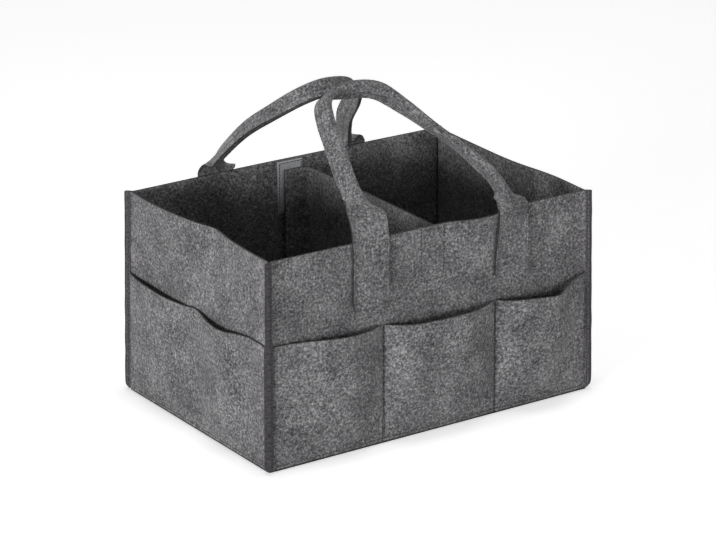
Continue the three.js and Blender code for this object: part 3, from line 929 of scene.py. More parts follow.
def curve_points(points, count):
    """Points evenly spaced along a smooth curve through the given ones, and its length.

    The curve is a cubic spline through the points, whose knots are spaced by the root of their distance.
    """
    fine, steps = [], 16
    knots = [0.0]
    for a, b in zip(points, points[1:]):
        knots.append(knots[-1] + math.sqrt((b - a).length))
    ends = [points[0] * 2 - points[1], *points, points[-1] * 2 - points[-2]]
    times = [knots[0] - (knots[1] - knots[0]), *knots, knots[-1] + (knots[-1] - knots[-2])]
    for i in range(1, len(points)):
        p0, p1, p2, p3 = ends[i - 1 : i + 3]
        t0, t1, t2, t3 = times[i - 1 : i + 3]
        for k in range(steps):
            t = mix(t1, t2, k / steps)
            a1 = p0 * ((t1 - t) / (t1 - t0)) + p1 * ((t - t0) / (t1 - t0))
            a2 = p1 * ((t2 - t) / (t2 - t1)) + p2 * ((t - t1) / (t2 - t1))
            a3 = p2 * ((t3 - t) / (t3 - t2)) + p3 * ((t - t2) / (t3 - t2))
            b1 = a1 * ((t2 - t) / (t2 - t0)) + a2 * ((t - t0) / (t2 - t0))
            b2 = a2 * ((t3 - t) / (t3 - t1)) + a3 * ((t - t1) / (t3 - t1))
            fine.append(b1 * ((t2 - t) / (t2 - t1)) + b2 * ((t - t1) / (t2 - t1)))
    fine.append(points[-1].copy())
    walked = [0.0]
    for a, b in zip(fine, fine[1:]):
        walked.append(walked[-1] + (b - a).length)
    result, k = [], 0
    for i in range(count + 1):
        target = walked[-1] * i / count
        while k < len(fine) - 2 and walked[k + 1] < target:
            k += 1
        share = (target - walked[k]) / max(walked[k + 1] - walked[k], 1e-9)
        result.append(fine[k].lerp(fine[k + 1], min(max(share, 0), 1)))
    return result, walked[-1]


def lean_at(facts, reach, up):
    """How far a handle leans inward at a share of its height. Stiff felt stands upright at first."""
    eased = min(up / UPRIGHT_SHARE, 1)
    up -= UPRIGHT_EASE * UPRIGHT_SHARE * eased * (1 - eased) ** 2
    return reach * ((1 - facts["lean_bow"]) * up + facts["lean_bow"] * up * up)


def strap_away(side):
    """How far from the middle of the caddy the middle of a strap's felt lies on an even wall."""
    felt = settings().body.felt
    return SIDES[side]["inner"] + felt + SEAM_GAP + felt / 2


def strap_stations(facts):
    """Stations along a whole strap, from one flat end over the loop to the other, and the loop's length.

    A station on a flat end has z, its height, middle, its place along, and climb, 1 on the way up and -1
    on the way down. One on the loop has ridge, the point of its fold, the directions heading, in_loop and
    inward, its distance from_foot, and turn, draw and roll, which say how its section is folded there.
    """
    body, handle = settings().body, settings().handle
    away = strap_away(facts["side"])
    reach = away - facts["short"]
    foot = HINGE_HEIGHT + SEAM_GAP
    # Folded in half, the strap's edges meet, which takes a little more than a right angle.
    arm = handle.width / 2 - handle.fold_radius * RIGHT_ANGLE
    fold_turn = RIGHT_ANGLE + math.asin((handle.fold_radius - body.felt / 2 - SEAM_GAP) / arm)
    route = []
    for across, up in facts["route"]:
        along = facts["centre"] + facts["half_span"] * across
        route.append(Vector((along, away - lean_at(facts, reach, up), foot + facts["rise"] * up)))
    ridge_points, total = curve_points(route, LOOP_ROWS)
    heights = stops_between([STRAP_LOW, HINGE_HEIGHT], END_ROW)[:-1]
    stations = [{"z": z, "climb": 1, "middle": route[0].x} for z in heights]
    for i, ridge in enumerate(ridge_points):
        share = i / LOOP_ROWS
        leg = 0 if share < 0.5 else 1
        from_foot = total * min(share, 1 - share)
        from_flat = from_foot - facts["flats"][leg]
        folded = smooth(from_flat / facts["flares"][leg])
        leaning = smooth((from_foot - facts["leans"][leg]) / handle.lean)
        rolled = smooth(from_flat / facts["roll_in"][leg])
        climb = 1 - 2 * leg
        up = (ridge.z - foot) / facts["rise"]
        leaned = lean_at(facts, reach, up + SLOPE_STEP) - lean_at(facts, reach, up)
        slope = leaned / SLOPE_STEP / facts["rise"]
        lean = Vector((0, -slope, 1)).normalized() * climb
        upright = Vector((0, 0, climb)).lerp(lean, smooth(from_foot / FOOT_TURN))
        before = ridge_points[max(i - 1, 0)]
        after = ridge_points[min(i + 1, LOOP_ROWS)]
        heading = upright.lerp((after - before).normalized(), max(folded, leaning)).normalized()
        in_loop = Vector((0, -1, -slope)).normalized().cross(heading).normalized()
        stations.append({
            "ridge": ridge, "heading": heading, "in_loop": in_loop,
            "inward": heading.cross(in_loop).normalized(), "from_foot": from_foot,
            "turn": folded * fold_turn, "draw": facts["draws"][leg],
            "roll": rolled * math.radians(line_value(facts["rolls"], share)),
        })
    stations += [{"z": z, "climb": -1, "middle": route[-1].x} for z in reversed(heights)]
    return stations, total


def flat_row(side, station, shares):
    """A row of a strap's flat end, whose border stands off the wall outside its seam."""
    handle, border = settings().handle, settings().thread.border
    z = station["z"]
    from_end = z - STRAP_LOW
    half = handle.width / 2
    if from_end < handle.corner:
        half -= handle.corner - math.sqrt(handle.corner**2 - (handle.corner - from_end) ** 2)
    row = []
    for share in shares:
        along = station["middle"] + station["climb"] * share * half
        inside = min(half * (1 - abs(share)), max(from_end, 0))
        lift = handle.lift * (1 - smooth(inside / border))
        lift *= 1 - smooth((z - RIM_HEIGHT + LIFT_FADE) / LIFT_FADE)
        away = strap_away(side) + wall_shift(side, along, z)
        row.append(Vector((along, away + lift, z)))
    return row


def folded_row(side, station):
    """A row of a strap's loop. Near its foot it follows the waves of the wall."""
    roll = station["roll"]
    # In a side's own places the outward axis is the second one, so cross products turn round.
    inward = station["inward"] * math.cos(roll) + station["in_loop"] * math.sin(roll)
    across_axis = station["heading"].cross(inward)
    section = fold_section(station["turn"], station["draw"])
    held = 1 - smooth(station["from_foot"] / FOOT_HELD)
    row = []
    for across, inside in [(-across, inside) for across, inside in reversed(section[1:])] + section:
        point = station["ridge"] + across_axis * across + inward * inside
        point.y += wall_shift(side, point.x, RIM_HEIGHT) * held
        row.append(point)
    return row


def build_handle(name):
    """Makes a handle's strap, which bends over the rim where its hinge is, and the stitches in it."""
    facts = HANDLES[name]
    body, handle, thread = settings().body, settings().handle, settings().thread
    side = facts["side"]
    stations, total = strap_stations(facts)
    flat = [across / (handle.width / 2) for across, _ in fold_section(0.0)]
    shares = [-share for share in reversed(flat[1:])] + flat
    rows = [flat_row(side, s, shares) if "z" in s else folded_row(side, s) for s in stations]
    last = len(shares) - 1

    def place(column, row):
        return turned(side, *rows[row][column])

    flat = (handle.width, total + 2 * (HINGE_HEIGHT - STRAP_LOW))
    piece = grid_piece(f"{name}_handle_strap", last, len(rows) - 1, place, flat)
    thicken(piece, body.felt, body.raw_edge)
    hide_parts(f"{name}_handle", *facts["ends"])
    # The strap's felt is drawn paler as painted light, and its cut edges darker as painted shade.
    finish_piece(piece, MATERIALS["strap_felt"], shaded_cut_edge=MATERIALS["cut_felt"])
    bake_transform(piece)

    def surface(row, share):
        """A point on the strap's outer face at a share of its width, and the normal there."""
        column = min(int(share * last), last - 1)
        rest = share * last - column

        def at(line):
            return place(column, line).lerp(place(column + 1, line), rest)

        along = at(min(row + 1, len(rows) - 1)) - at(max(row - 1, 0))
        across = place(column + 1, row) - place(column, row)
        normal = across.cross(along).normalized()
        return at(row) + normal * (body.felt / 2), normal

    # One line through both edges of the folded part, and a border round each flat end.
    inset = thread.border / handle.width
    full = SEWN_FOLD * RIGHT_ANGLE
    folded = [i for i, s in enumerate(stations) if "z" not in s and s["turn"] > full]
    seams = [[surface(i, share) for i in folded] for share in (inset, 1 - inset)]
    ends = [i for i, s in enumerate(stations) if "z" in s]
    lowest = STRAP_LOW + thread.border - BORDER_SLACK
    steps = [k / BORDER_STEPS for k in range(1, BORDER_STEPS)]
    for upward in (ends[: len(ends) // 2], ends[: len(ends) // 2 - 1 : -1]):
        sewn = [i for i in upward if stations[i]["z"] > lowest]
        left = [surface(i, inset) for i in reversed(sewn)]
        bottom = [surface(sewn[0], mix(inset, 1 - inset, step)) for step in steps]
        right = [surface(i, 1 - inset) for i in sewn]
        top = [surface(upward[-1], mix(1 - inset, inset, step)) for step in steps]
        seams.append(left + bottom + right + top)
    threads = thread_piece(f"{name}_handle_thread", seams, material="grey_thread")
    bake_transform(threads)


class CADDY_OT_handles(bpy.types.Operator):
    """Builds the two handles: straps that lie flat on the walls and are folded between their ends"""

    bl_idname = "felt_caddy.handles"
    bl_label = "Handles"

    def execute(self, context):
        for name in HANDLES:
            build_handle(name)
        return {"FINISHED"}


# Divider and fasteners


def divider_plan():
    """The divider's middle line in plan, from its front tab to its rear one, and half its depth."""
    body, divider = settings().body, settings().divider
    reach = DIVIDER_HIGH.y - body.felt / 2
    right = DIVIDER_HIGH.x - body.felt / 2
    radius = divider.bend - body.felt / 2

    def quarter(first, middle_y):
        """The points of a quarter turn."""
        turns = [first + RIGHT_ANGLE * i / BEND_FACES for i in range(1, BEND_FACES)]
        return [
            (right - radius + radius * math.cos(turn), middle_y + radius * math.sin(turn))
            for turn in turns
        ]

    tab = stops_between([DIVIDER_LOW.x, right - radius], TAB_COLUMN)
    line = [(x, -reach) for x in tab] + quarter(-RIGHT_ANGLE, radius - reach)
    line += [(right, y) for y in stops_between([radius - reach, reach - radius], PANEL_COLUMN)]
    line += quarter(0, reach - radius) + [(x, reach) for x in reversed(tab)]
    return line, reach


class CADDY_OT_divider(bpy.types.Operator):
    """Builds the lift-out divider with its two folded tabs"""

    bl_idname = "felt_caddy.divider"
    bl_label = "Divider"

    def execute(self, context):
        body, divider = settings().body, settings().divider
        line, reach = divider_plan()
        rows = round((DIVIDER_HIGH.z - DIVIDER_LOW.z) / body.row)

        def place(column, row):
            x, y = line[column]
            z = mix(DIVIDER_LOW.z, DIVIDER_HIGH.z, row / rows)
            free = 1 - min(abs(y) / (reach - TAB_HOLD), 1) ** 2
            bow = divider.bow * free * math.sin(math.pi * row / rows * BOW_PART)
            wave = body.unevenness * noise.noise(Vector((y / body.wave, z / body.wave, 7.0))) * free
            return Vector((x + bow + wave, y, z))

        width = sum(math.dist(a, b) for a, b in zip(line, line[1:]))
        flat = (width, DIVIDER_HIGH.z - DIVIDER_LOW.z)
        piece = grid_piece("divider_felt", len(line) - 1, rows, place, flat)
        thicken(piece, body.felt, body.raw_edge)
        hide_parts("divider_panel")
        finish_piece(piece, MATERIALS["needle_felt"], "divider", MATERIALS["cut_felt"])
        return {"FINISHED"}


class CADDY_OT_fasteners(bpy.types.Operator):
    """Builds the loop patches on the walls and the hook tapes on the divider's tabs"""

    bl_idname = "felt_caddy.fasteners"
    bl_label = "Fasteners"

    def execute(self, context):
        for node, name, material, slot, body_name in (
            ("front_loop_patch", "front_loop_pile", "looped_pile", "loop_tape", "caddy"),
            ("rear_loop_patch", "rear_loop_pile", "looped_pile", "loop_tape", "caddy"),
            ("divider_front_hook_tape", "divider_front_hooks", "moulded_hooks", "hook_tape", "divider"),
            ("divider_rear_hook_tape", "divider_rear_hooks", "moulded_hooks", "hook_tape", "divider"),
        ):
            low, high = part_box(node)
            columns = round((high.x - low.x) / PILE_FACE)
            rows = round((high.z - low.z) / PILE_FACE)
            middle = (low.y + high.y) / 2
            sign = math.copysign(1, middle)
            side = "rear" if sign > 0 else "front"
            on_wall = sign if body_name == "caddy" else 0

            def place(column, row):
                x, z = mix(low.x, high.x, column / columns), mix(low.z, high.z, row / rows)
                return Vector((x, middle + on_wall * wall_shift(side, -sign * x, z), z))

            flat = (high.x - low.x, high.z - low.z)
            piece = grid_piece(name, columns, rows, place, flat)
            thicken(piece, high.y - low.y, PILE_EDGE)
            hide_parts(node)
            finish_piece(piece, MATERIALS[material], body_name)
        return {"FINISHED"}


def pocket_seam(side, places):
    """A seam on a pocket panel's outer face, through places of (along, height)."""
    out = SIDES[side]["inner"] + NEXT_SHEET + settings().body.felt
    normal = turned(side, 0, 1, 0)
    seam = []
    for along, z in places:
        shift = wall_shift(side, along, z) + pocket_shift(side, along, z)
        seam.append((turned(side, along, out + shift, z), normal))
    return seam


def patch_seam(side, out, facing):
    """The seam round a loop patch, on its pile (facing -1) or on the wall's outer face (facing 1)."""
    low, high = LOOP_PATCH_LOW, LOOP_PATCH_HIGH
    left, right = low.x + PATCH_INSET, high.x - PATCH_INSET
    bottom, top = low.z + PATCH_INSET, high.z - PATCH_INSET
    outline = [(left, top), (left, bottom), (right, bottom), (right, top), (left, top)]
    sign = 1 if side == "front" else -1
    seam = []
    for (x0, z0), (x1, z1) in zip(outline, outline[1:]):
        for k in range(PATCH_STEPS):
            along, z = mix(x0, x1, k / PATCH_STEPS) * sign, mix(z0, z1, k / PATCH_STEPS)
            shift = wall_shift(side, along, z) if facing > 0 else 0
            seam.append((turned(side, along, out + shift, z), turned(side, 0, facing, 0)))
    return seam + seam[:1]


class CADDY_OT_stitching(bpy.types.Operator):
    """Sews the pocket seams, the patches and the edge of the floor"""

    bl_idname = "felt_caddy.stitching"
    bl_label = "Stitching"

    def execute(self, context):
        body = settings().body
        for side, facts in SIDES.items():
            seams = []
            for seam in facts["seams"]:
                marks = [
                    WALL_BASE + UPRIGHT_SEAM_FOOT, line_value(facts["mouth"], seam, 2) - UPRIGHT_SEAM_TOP,
                ]
                heights = stops_between(marks, UPRIGHT_SEAM_STEP)
                seams.append(pocket_seam(side, [(seam, z) for z in heights]))
            reach = facts["half"] - FOOT_SEAM_END
            foot = stops_between([-reach, reach], FOOT_SEAM_STEP)
            seams.append(pocket_seam(side, [(along, WALL_BASE + FOOT_SEAM) for along in foot]))
            if not facts["seams"]:
                heights = stops_between([MOUTH_HEIGHT - TACK, MOUTH_HEIGHT], TACK_STEP)
                seams.append(pocket_seam(side, [(TACK_PLACE, z) for z in heights]))
            thread_piece(f"{side}_pocket_thread", seams, "caddy")
        for side in ("front", "rear"):
            inner = SIDES[side]["inner"]
            seams = [patch_seam(side, inner + body.felt, 1), patch_seam(side, inner - PATCH_PILE, -1)]
            thread_piece(f"{side}_patch_thread", seams, "caddy")
        return {"FINISHED"}


# Materials

MATERIALS = {}


def add_node(tree, kind, place, inputs=(), links=(), **values):
    """Adds a node with its settings, socket values and links from (node, socket)."""
    node = tree.nodes.new(kind)
    node.location = place
    for key, value in values.items():
        setattr(node, key, value)
    for key, value in dict(inputs).items():
        node.inputs[key].default_value = value
    for key, (source, socket) in dict(links).items():
        tree.links.new(source.outputs[socket], node.inputs[key])
    return node


def new_material(name):
    """A new material's node tree and its shader."""
    material = bpy.data.materials.new(name)
    material.use_nodes = True
    tree = material.node_tree
    tree.nodes.clear()
    output = add_node(tree, "ShaderNodeOutputMaterial", (900, 0))
    shader = add_node(tree, "ShaderNodeBsdfPrincipled", (600, 0))
    tree.links.new(shader.outputs["BSDF"], output.inputs["Surface"])
    MATERIALS[name] = material
    return tree, shader


def set_ramp(node, stops):
    """Sets a colour ramp's stops: (position, colour), of which the first two are its ends."""
    ramp = node.color_ramp
    while len(ramp.elements) > 2:
        ramp.elements.remove(ramp.elements[-1])
    for i, (at, value) in enumerate(stops):
        element = ramp.elements[i] if i < 2 else ramp.elements.new(at)
        element.position = at
        element.color = (*value, 1)


def per_metre(millimetres):
    """The scale that makes a texture's feature this many millimetres wide."""
    return 1000 / millimetres


def felt_material(name, shade):
    """Needle felt: short fibres in three greys, pressed to a speckled mat that scatters light softly."""
    colours = settings().colours
    tree, shader = new_material(name)
    place = add_node(tree, "ShaderNodeTexCoord", (-1200, 0))
    # Tufts of like fibres 2.5 mm across, broken up by single fibres 0.9 mm apart. Real fibres are finer,
    # and are drawn as coarse as it takes for them to show.
    tufts = add_node(
        tree, "ShaderNodeTexNoise", (-900, 200),
        inputs={"Scale": per_metre(2.5), "Detail": 4.0, "Roughness": 0.75, "Distortion": 0.5},
        links={"Vector": (place, "Object")},
    )
    # Thicker and thinner places in the mat, some 30 mm across.
    patches = add_node(
        tree, "ShaderNodeTexNoise", (-900, -100), inputs={"Scale": per_metre(30), "Detail": 4.0},
        links={"Vector": (place, "Object")},
    )
    fibres = add_node(
        tree, "ShaderNodeTexNoise", (-900, -400),
        inputs={"Scale": per_metre(0.9), "Detail": 3.0, "Roughness": 0.8, "Distortion": 1.5},
        links={"Vector": (place, "Object")},
    )
    # The three patterns, weighed 0.6 to 0.26 to 0.14
    patch_part = add_node(
        tree, "ShaderNodeMath", (-780, -250), operation="MULTIPLY", inputs={1: 0.14},
        links={0: (patches, "Fac")},
    )
    fibre_part = add_node(
        tree, "ShaderNodeMath", (-650, -150), operation="MULTIPLY_ADD", inputs={1: 0.26},
        links={0: (fibres, "Fac"), 2: (patch_part, 0)},
    )
    joined = add_node(
        tree, "ShaderNodeMath", (-650, 150), operation="MULTIPLY_ADD", inputs={1: 0.6},
        links={0: (tufts, "Fac"), 2: (fibre_part, 0)},
    )
    ramp = add_node(tree, "ShaderNodeValToRGB", (-400, 150), links={"Fac": (joined, 0)})
    greys = (colours.felt_dark, colours.felt_mid, colours.felt_light)
    # shade scales the three greys: above 1 it paints light on a piece, below 1 it paints shade.
    dark, mid, light = ([c * shade for c in grey] for grey in greys)
    set_ramp(ramp, [(0.4, dark), (0.62, light), (0.502, mid)])
    tree.links.new(ramp.outputs["Color"], shader.inputs["Base Color"])
    bump = add_node(
        tree, "ShaderNodeBump", (300, -300), inputs={"Strength": 0.55, "Distance": 0.6 * MM},
        links={"Height": (joined, 0)},
    )
    tree.links.new(bump.outputs["Normal"], shader.inputs["Normal"])
    shader.inputs["Roughness"].default_value = 0.95
    shader.inputs["Specular IOR Level"].default_value = 0.15
    shader.inputs["Sheen Weight"].default_value = 0.12
    shader.inputs["Sheen Roughness"].default_value = 0.6


def tape_material():
    """Woven polyester tape, drawn darker at its fold and paler on its flat sides: painted shade on the
    fold and painted light on the flat sides.
    """
    colours, body, tape = settings().colours, settings().body, settings().tape
    half_width = body.allowance - body.neck + tape.thickness / 2 + tape.half_above
    tree, shader = new_material("woven_tape")
    place = add_node(tree, "ShaderNodeUVMap", (-1300, 0))
    # Ribs across the tape, drawn 5.655 mm apart as soft ripples, because woven ones are too fine to show.
    # A wave texture has 20 radians to a unit.
    ribs = add_node(
        tree, "ShaderNodeTexWave", (-900, -300), wave_type="BANDS", bands_direction="Y",
        inputs={"Scale": per_metre(5.655) * math.tau / 20, "Distortion": 0.6, "Detail": 1.0},
        links={"Vector": (place, "UV")},
    )
    # Yarns and fluff some 2.6 mm long.
    warp = add_node(
        tree, "ShaderNodeTexNoise", (-900, 300),
        inputs={"Scale": per_metre(2.6), "Detail": 5.0, "Roughness": 0.7},
        links={"Vector": (place, "UV")},
    )
    ramp = add_node(tree, "ShaderNodeValToRGB", (-600, 300), links={"Fac": (warp, "Fac")})
    base = list(colours.tape)
    set_ramp(ramp, [(0.38, [c * 0.4 for c in base]), (0.64, [c * 2.1 for c in base])])
    across = add_node(tree, "ShaderNodeSeparateXYZ", (-1100, 0), links={"Vector": (place, "UV")})
    from_fold = add_node(
        tree, "ShaderNodeMath", (-900, 0), operation="SUBTRACT", inputs={1: half_width},
        links={0: (across, "X")},
    )
    distance = add_node(
        tree, "ShaderNodeMath", (-750, 0), operation="ABSOLUTE", links={0: (from_fold, 0)}
    )
    # Painted light: from 2.6 mm to 4.6 mm off the fold the tape grows paler, up to the factor in the tape
    # settings; the darker fold is painted shade.
    flat_side_light = add_node(
        tree, "ShaderNodeMapRange", (-600, 0), interpolation_type="SMOOTHSTEP",
        inputs={"From Min": 2.6 * MM, "From Max": 4.6 * MM, "To Min": 1.0, "To Max": tape.flat_side_light},
        links={"Value": (distance, 0)},
    )
    flat_side_lit = add_node(
        tree, "ShaderNodeVectorMath", (-300, 200), operation="SCALE",
        links={0: (ramp, "Color"), "Scale": (flat_side_light, "Result")},
    )
    tree.links.new(flat_side_lit.outputs[0], shader.inputs["Base Color"])
    bump = add_node(
        tree, "ShaderNodeBump", (300, -300), inputs={"Strength": 0.3, "Distance": 0.2 * MM},
        links={"Height": (ribs, "Fac")},
    )
    tree.links.new(bump.outputs["Normal"], shader.inputs["Normal"])
    shader.inputs["Roughness"].default_value = 0.8
    shader.inputs["Specular IOR Level"].default_value = 0.3


def plain_fibre_material(name, value, grain, bump_height, roughness):
    """A fine fibrous surface: one colour broken by a grain of a width in millimetres, and its bump."""
    tree, shader = new_material(name)
    place = add_node(tree, "ShaderNodeTexCoord", (-900, 0))
    cells = add_node(
        tree, "ShaderNodeTexVoronoi", (-600, -200), inputs={"Scale": per_metre(grain)},
        links={"Vector": (place, "Object")},
    )
    grain_noise = add_node(
        tree, "ShaderNodeTexNoise", (-600, 100), inputs={"Scale": per_metre(grain * 2), "Detail": 3.0},
        links={"Vector": (place, "Object")},
    )
    ramp = add_node(tree, "ShaderNodeValToRGB", (-300, 100), links={"Fac": (grain_noise, "Fac")})
    set_ramp(ramp, [(0.3, [c * 0.72 for c in value]), (0.7, [min(c * 1.25, 1) for c in value])])
    tree.links.new(ramp.outputs["Color"], shader.inputs["Base Color"])
    bump = add_node(
        tree, "ShaderNodeBump", (300, -300), inputs={"Strength": 0.6, "Distance": bump_height},
        links={"Height": (cells, "Distance")},
    )
    tree.links.new(bump.outputs["Normal"], shader.inputs["Normal"])
    shader.inputs["Roughness"].default_value = roughness


class CADDY_OT_materials(bpy.types.Operator):
    """Makes the materials"""

    bl_idname = "felt_caddy.materials"
    bl_label = "Materials"

    def execute(self, context):
        colours = settings().colours
        felt_material("needle_felt", 1.0)
        # The straps are the needle felt drawn 8 % paler: painted light, which stands in for the light
        # that falls on their legs where they face up and to the left.
        felt_material("strap_felt", 1.08)
        # The felt's cut edges are drawn at a fifth of its colour: painted shade, which stands in for the
        # shadow lines along the edges and in the gaps beside them.
        felt_material("cut_felt", 0.2)
        tape_material()
        # Spun polyester thread: matt, with a twist too fine to show.
        plain_fibre_material("polyester_thread", list(colours.thread), 0.5, 0.1 * MM, 0.8)
        plain_fibre_material("grey_thread", list(colours.strap_thread), 0.5, 0.1 * MM, 0.8)
        # Looped nylon pile: pale, in small tufts.
        plain_fibre_material("looped_pile", list(colours.loop_tape), 0.9, 0.6 * MM, 0.95)
        # Moulded nylon hooks: small even points.
        plain_fibre_material("moulded_hooks", list(colours.hook_tape), 0.9, 0.6 * MM, 0.6)
        # Grey board: pressed pulp with a fine grain.
        plain_fibre_material("grey_board", list(colours.board), 1.5, 0.1 * MM, 0.9)
        return {"FINISHED"}


# Stage

# Each lamp: (name, place, what it is turned to, diameter)
LAMPS = (
    ("key", (-3.3, -1.3, 0.45), (0, 0, 0.1), 1.2),
    ("fill", (0.4, -3.6, 0.5), (0, 0, 0.1), 1.2),
    ("top", (0, 0, 3.2), (0, 0, 0), 0.8),
)
LAMPS_SIDE = (-0.6, -0.8, 0)  # direction to the side that the key and fill lamps stand on
SKY_TURN = (-0.3, 0.4)  # how far round to that side the sky dims from behind to before
SKY_RISE = (0.02, 0.36)  # how far up it dims from the horizon to above
FLOOR_RADIUS = 6  # far enough out that its edge never shows
FLOOR_DROP = 0.2 * MM  # how far the floor lies below the caddy, so that their faces never meet
FLOOR_GLOW = 0.52  # light that the camera alone sees on the floor, on top of what falls on it


def area_lamp(name, place, target, size, watts):
    """A round lamp turned to a point."""
    lamp = bpy.data.lights.new(name, "AREA")
    lamp.shape = "DISK"
    lamp.size = size
    lamp.energy = watts
    lamp_object = bpy.data.objects.new(name, lamp)
    bpy.context.scene.collection.objects.link(lamp_object)
    lamp_object.location = place
    lamp_object.rotation_mode = "QUATERNION"
    lamp_object.rotation_quaternion = (Vector(target) - Vector(place)).to_track_quat("-Z", "Y")


def clear_rays(tree):
    """1 for what the camera sees straight, in gloss or through a clear piece."""
    rays = add_node(tree, "ShaderNodeLightPath", (-900, 400))
    gloss = add_node(
        tree, "ShaderNodeMath", (-700, 400), operation="MAXIMUM",
        links={0: (rays, "Is Camera Ray"), 1: (rays, "Is Glossy Ray")},
    )
    return add_node(
        tree, "ShaderNodeMath", (-500, 400), operation="MAXIMUM",
        links={0: (gloss, 0), 1: (rays, "Is Transmission Ray")},
    )


def stage_camera(scene, stage):
    """The camera that sees the caddy from its front left corner."""
    camera = bpy.data.cameras.new("camera")
    camera.sensor_width = 36
    camera.lens = stage.lens
    camera.clip_start, camera.clip_end = 0.05, 50
    camera_object = bpy.data.objects.new("camera", camera)
    scene.collection.objects.link(camera_object)
    camera_object.location = stage.camera_place
    camera_object.rotation_euler = (RIGHT_ANGLE - stage.camera_height, 0, stage.camera_turn)
    scene.camera = camera_object


def stage_floor():
    """A floor that looks white to the camera and keeps a soft shadow under the caddy."""
    bpy.ops.object.select_all(action="DESELECT")
    bpy.ops.mesh.primitive_circle_add(
        vertices=64, radius=FLOOR_RADIUS, fill_type="NGON", location=(0, 0, -FLOOR_DROP)
    )
    floor = bpy.context.object
    floor.name = "stage_floor"
    # Matt painted board: even and without a gloss.
    tree, shader = new_material("studio_floor")
    output = next(node for node in tree.nodes if node.type == "OUTPUT_MATERIAL")
    shader.inputs["Base Color"].default_value = (*settings().colours.floor, 1)
    shader.inputs["Roughness"].default_value = 0.9
    glow = add_node(tree, "ShaderNodeEmission", (300, 200), inputs={"Strength": FLOOR_GLOW})
    lit = add_node(tree, "ShaderNodeAddShader", (500, 200))
    tree.links.new(shader.outputs["BSDF"], lit.inputs[0])
    tree.links.new(glow.outputs[0], lit.inputs[1])
    both = add_node(tree, "ShaderNodeMixShader", (700, 200), links={"Fac": (clear_rays(tree), 0)})
    tree.links.new(shader.outputs["BSDF"], both.inputs[1])
    tree.links.new(lit.outputs[0], both.inputs[2])
    tree.links.new(both.outputs[0], output.inputs["Surface"])
    floor.data.materials.append(MATERIALS["studio_floor"])


def stage_sky(scene, stage):
    """A studio that is pale behind the caddy, and dim above and before it.

    So the lamps light the sides that they face, and little light falls into the open body. The camera
    sees plain white.
    """
    world = bpy.data.worlds.new("studio")
    scene.world = world
    world.use_nodes = True
    tree = world.node_tree
    tree.nodes.clear()
    place = add_node(tree, "ShaderNodeTexCoord", (-1300, 0))
    facing = add_node(
        tree, "ShaderNodeVectorMath", (-1100, 100), operation="DOT_PRODUCT",
        inputs={1: LAMPS_SIDE}, links={0: (place, "Generated")},
    )
    level = add_node(
        tree, "ShaderNodeMapRange", (-900, 100), interpolation_type="SMOOTHSTEP",
        inputs={
            "From Min": SKY_TURN[0], "From Max": SKY_TURN[1],
            "To Min": stage.sky_behind, "To Max": stage.sky_before,
        },
        links={"Value": (facing, "Value")},
    )
    height = add_node(
        tree, "ShaderNodeSeparateXYZ", (-1100, -100), links={"Vector": (place, "Generated")}
    )
    share = add_node(
        tree, "ShaderNodeMapRange", (-900, -100), interpolation_type="SMOOTHSTEP",
        inputs={
            "From Min": SKY_RISE[0], "From Max": SKY_RISE[1],
            "To Min": 1.0, "To Max": stage.sky_above,
        },
        links={"Value": (height, "Z")},
    )
    strength = add_node(
        tree, "ShaderNodeMath", (-600, 0), operation="MULTIPLY",
        links={0: (level, "Result"), 1: (share, "Result")},
    )
    even = add_node(
        tree, "ShaderNodeBackground", (-300, 0), inputs={"Color": (1, 1, 1, 1)},
        links={"Strength": (strength, 0)},
    )
    white = add_node(
        tree, "ShaderNodeBackground", (-300, -200), inputs={"Color": (1, 1, 1, 1), "Strength": 1.0}
    )
    both = add_node(tree, "ShaderNodeMixShader", (0, 0), links={"Fac": (clear_rays(tree), 0)})
    tree.links.new(even.outputs[0], both.inputs[1])
    tree.links.new(white.outputs[0], both.inputs[2])
    output = add_node(tree, "ShaderNodeOutputWorld", (300, 0))
    tree.links.new(both.outputs[0], output.inputs["Surface"])


class CADDY_OT_stage(bpy.types.Operator):
    """Sets up the camera, the lamps, the floor and the sky"""

    bl_idname = "felt_caddy.stage"
    bl_label = "Stage"

    def execute(self, context):
        stage = settings().stage
        context.scene.view_settings.view_transform = "Standard"
        stage_camera(context.scene, stage)
        for name, place, target, size in LAMPS:
            area_lamp(f"{name}_lamp", place, target, size, getattr(stage, f"{name}_power"))
        stage_floor()
        stage_sky(context.scene, stage)
        return {"FINISHED"}


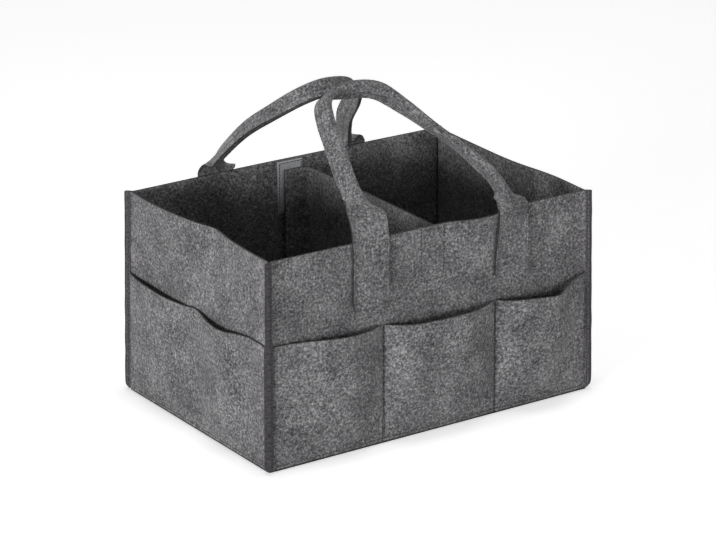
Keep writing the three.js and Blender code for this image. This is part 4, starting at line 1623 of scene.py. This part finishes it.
class FeltCaddySettings(bpy.types.PropertyGroup):
    """All settings of the caddy"""

    body: group("Body", "Felt body", CaddyBodySettings)
    tape: group("Tape", "Binding tape", CaddyTapeSettings)
    handle: group("Handles", "Handles", CaddyHandleSettings)
    thread: group("Thread", "Stitches", CaddyThreadSettings)
    divider: group("Divider", "Divider", CaddyDividerSettings)
    colours: group("Colours", "Colours", CaddyColourSettings)
    stage: group("Stage", "Camera and lamps", CaddyStageSettings)


OPERATORS = (
    CADDY_OT_stage,
    CADDY_OT_materials,
    CADDY_OT_walls,
    CADDY_OT_pockets,
    CADDY_OT_floor,
    CADDY_OT_bindings,
    CADDY_OT_handles,
    CADDY_OT_divider,
    CADDY_OT_fasteners,
    CADDY_OT_stitching,
)


class CADDY_PT_panel(bpy.types.Panel):
    """Lists the pieces of the caddy and their settings"""

    bl_idname = "CADDY_PT_panel"
    bl_label = "Felt Caddy"
    bl_space_type = "VIEW_3D"
    bl_region_type = "UI"
    bl_category = "Felt Caddy"

    def draw(self, context):
        caddy = context.scene.felt_caddy
        for operator in OPERATORS:
            self.layout.operator(operator.bl_idname)
        for name in FeltCaddySettings.__annotations__:
            box = self.layout.box()
            box.label(text=name.title())
            sizes = getattr(caddy, name)
            for property_name in type(sizes).__annotations__:
                box.prop(sizes, property_name)


CLASSES = (
    CaddyBodySettings,
    CaddyTapeSettings,
    CaddyHandleSettings,
    CaddyThreadSettings,
    CaddyDividerSettings,
    CaddyColourSettings,
    CaddyStageSettings,
    FeltCaddySettings,
    *OPERATORS,
    CADDY_PT_panel,
)


def register():
    for cls in CLASSES:
        bpy.utils.register_class(cls)
    bpy.types.Scene.felt_caddy = bpy.props.PointerProperty(
        name="Felt caddy", description="Settings of the felt caddy", type=FeltCaddySettings
    )


def unregister():
    del bpy.types.Scene.felt_caddy
    for cls in reversed(CLASSES):
        bpy.utils.unregister_class(cls)


def build():
    """Registers the add-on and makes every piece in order."""
    register()
    for operator in OPERATORS:
        getattr(bpy.ops.felt_caddy, operator.bl_idname.split(".")[1])()


if __name__ == "__main__":
    build()
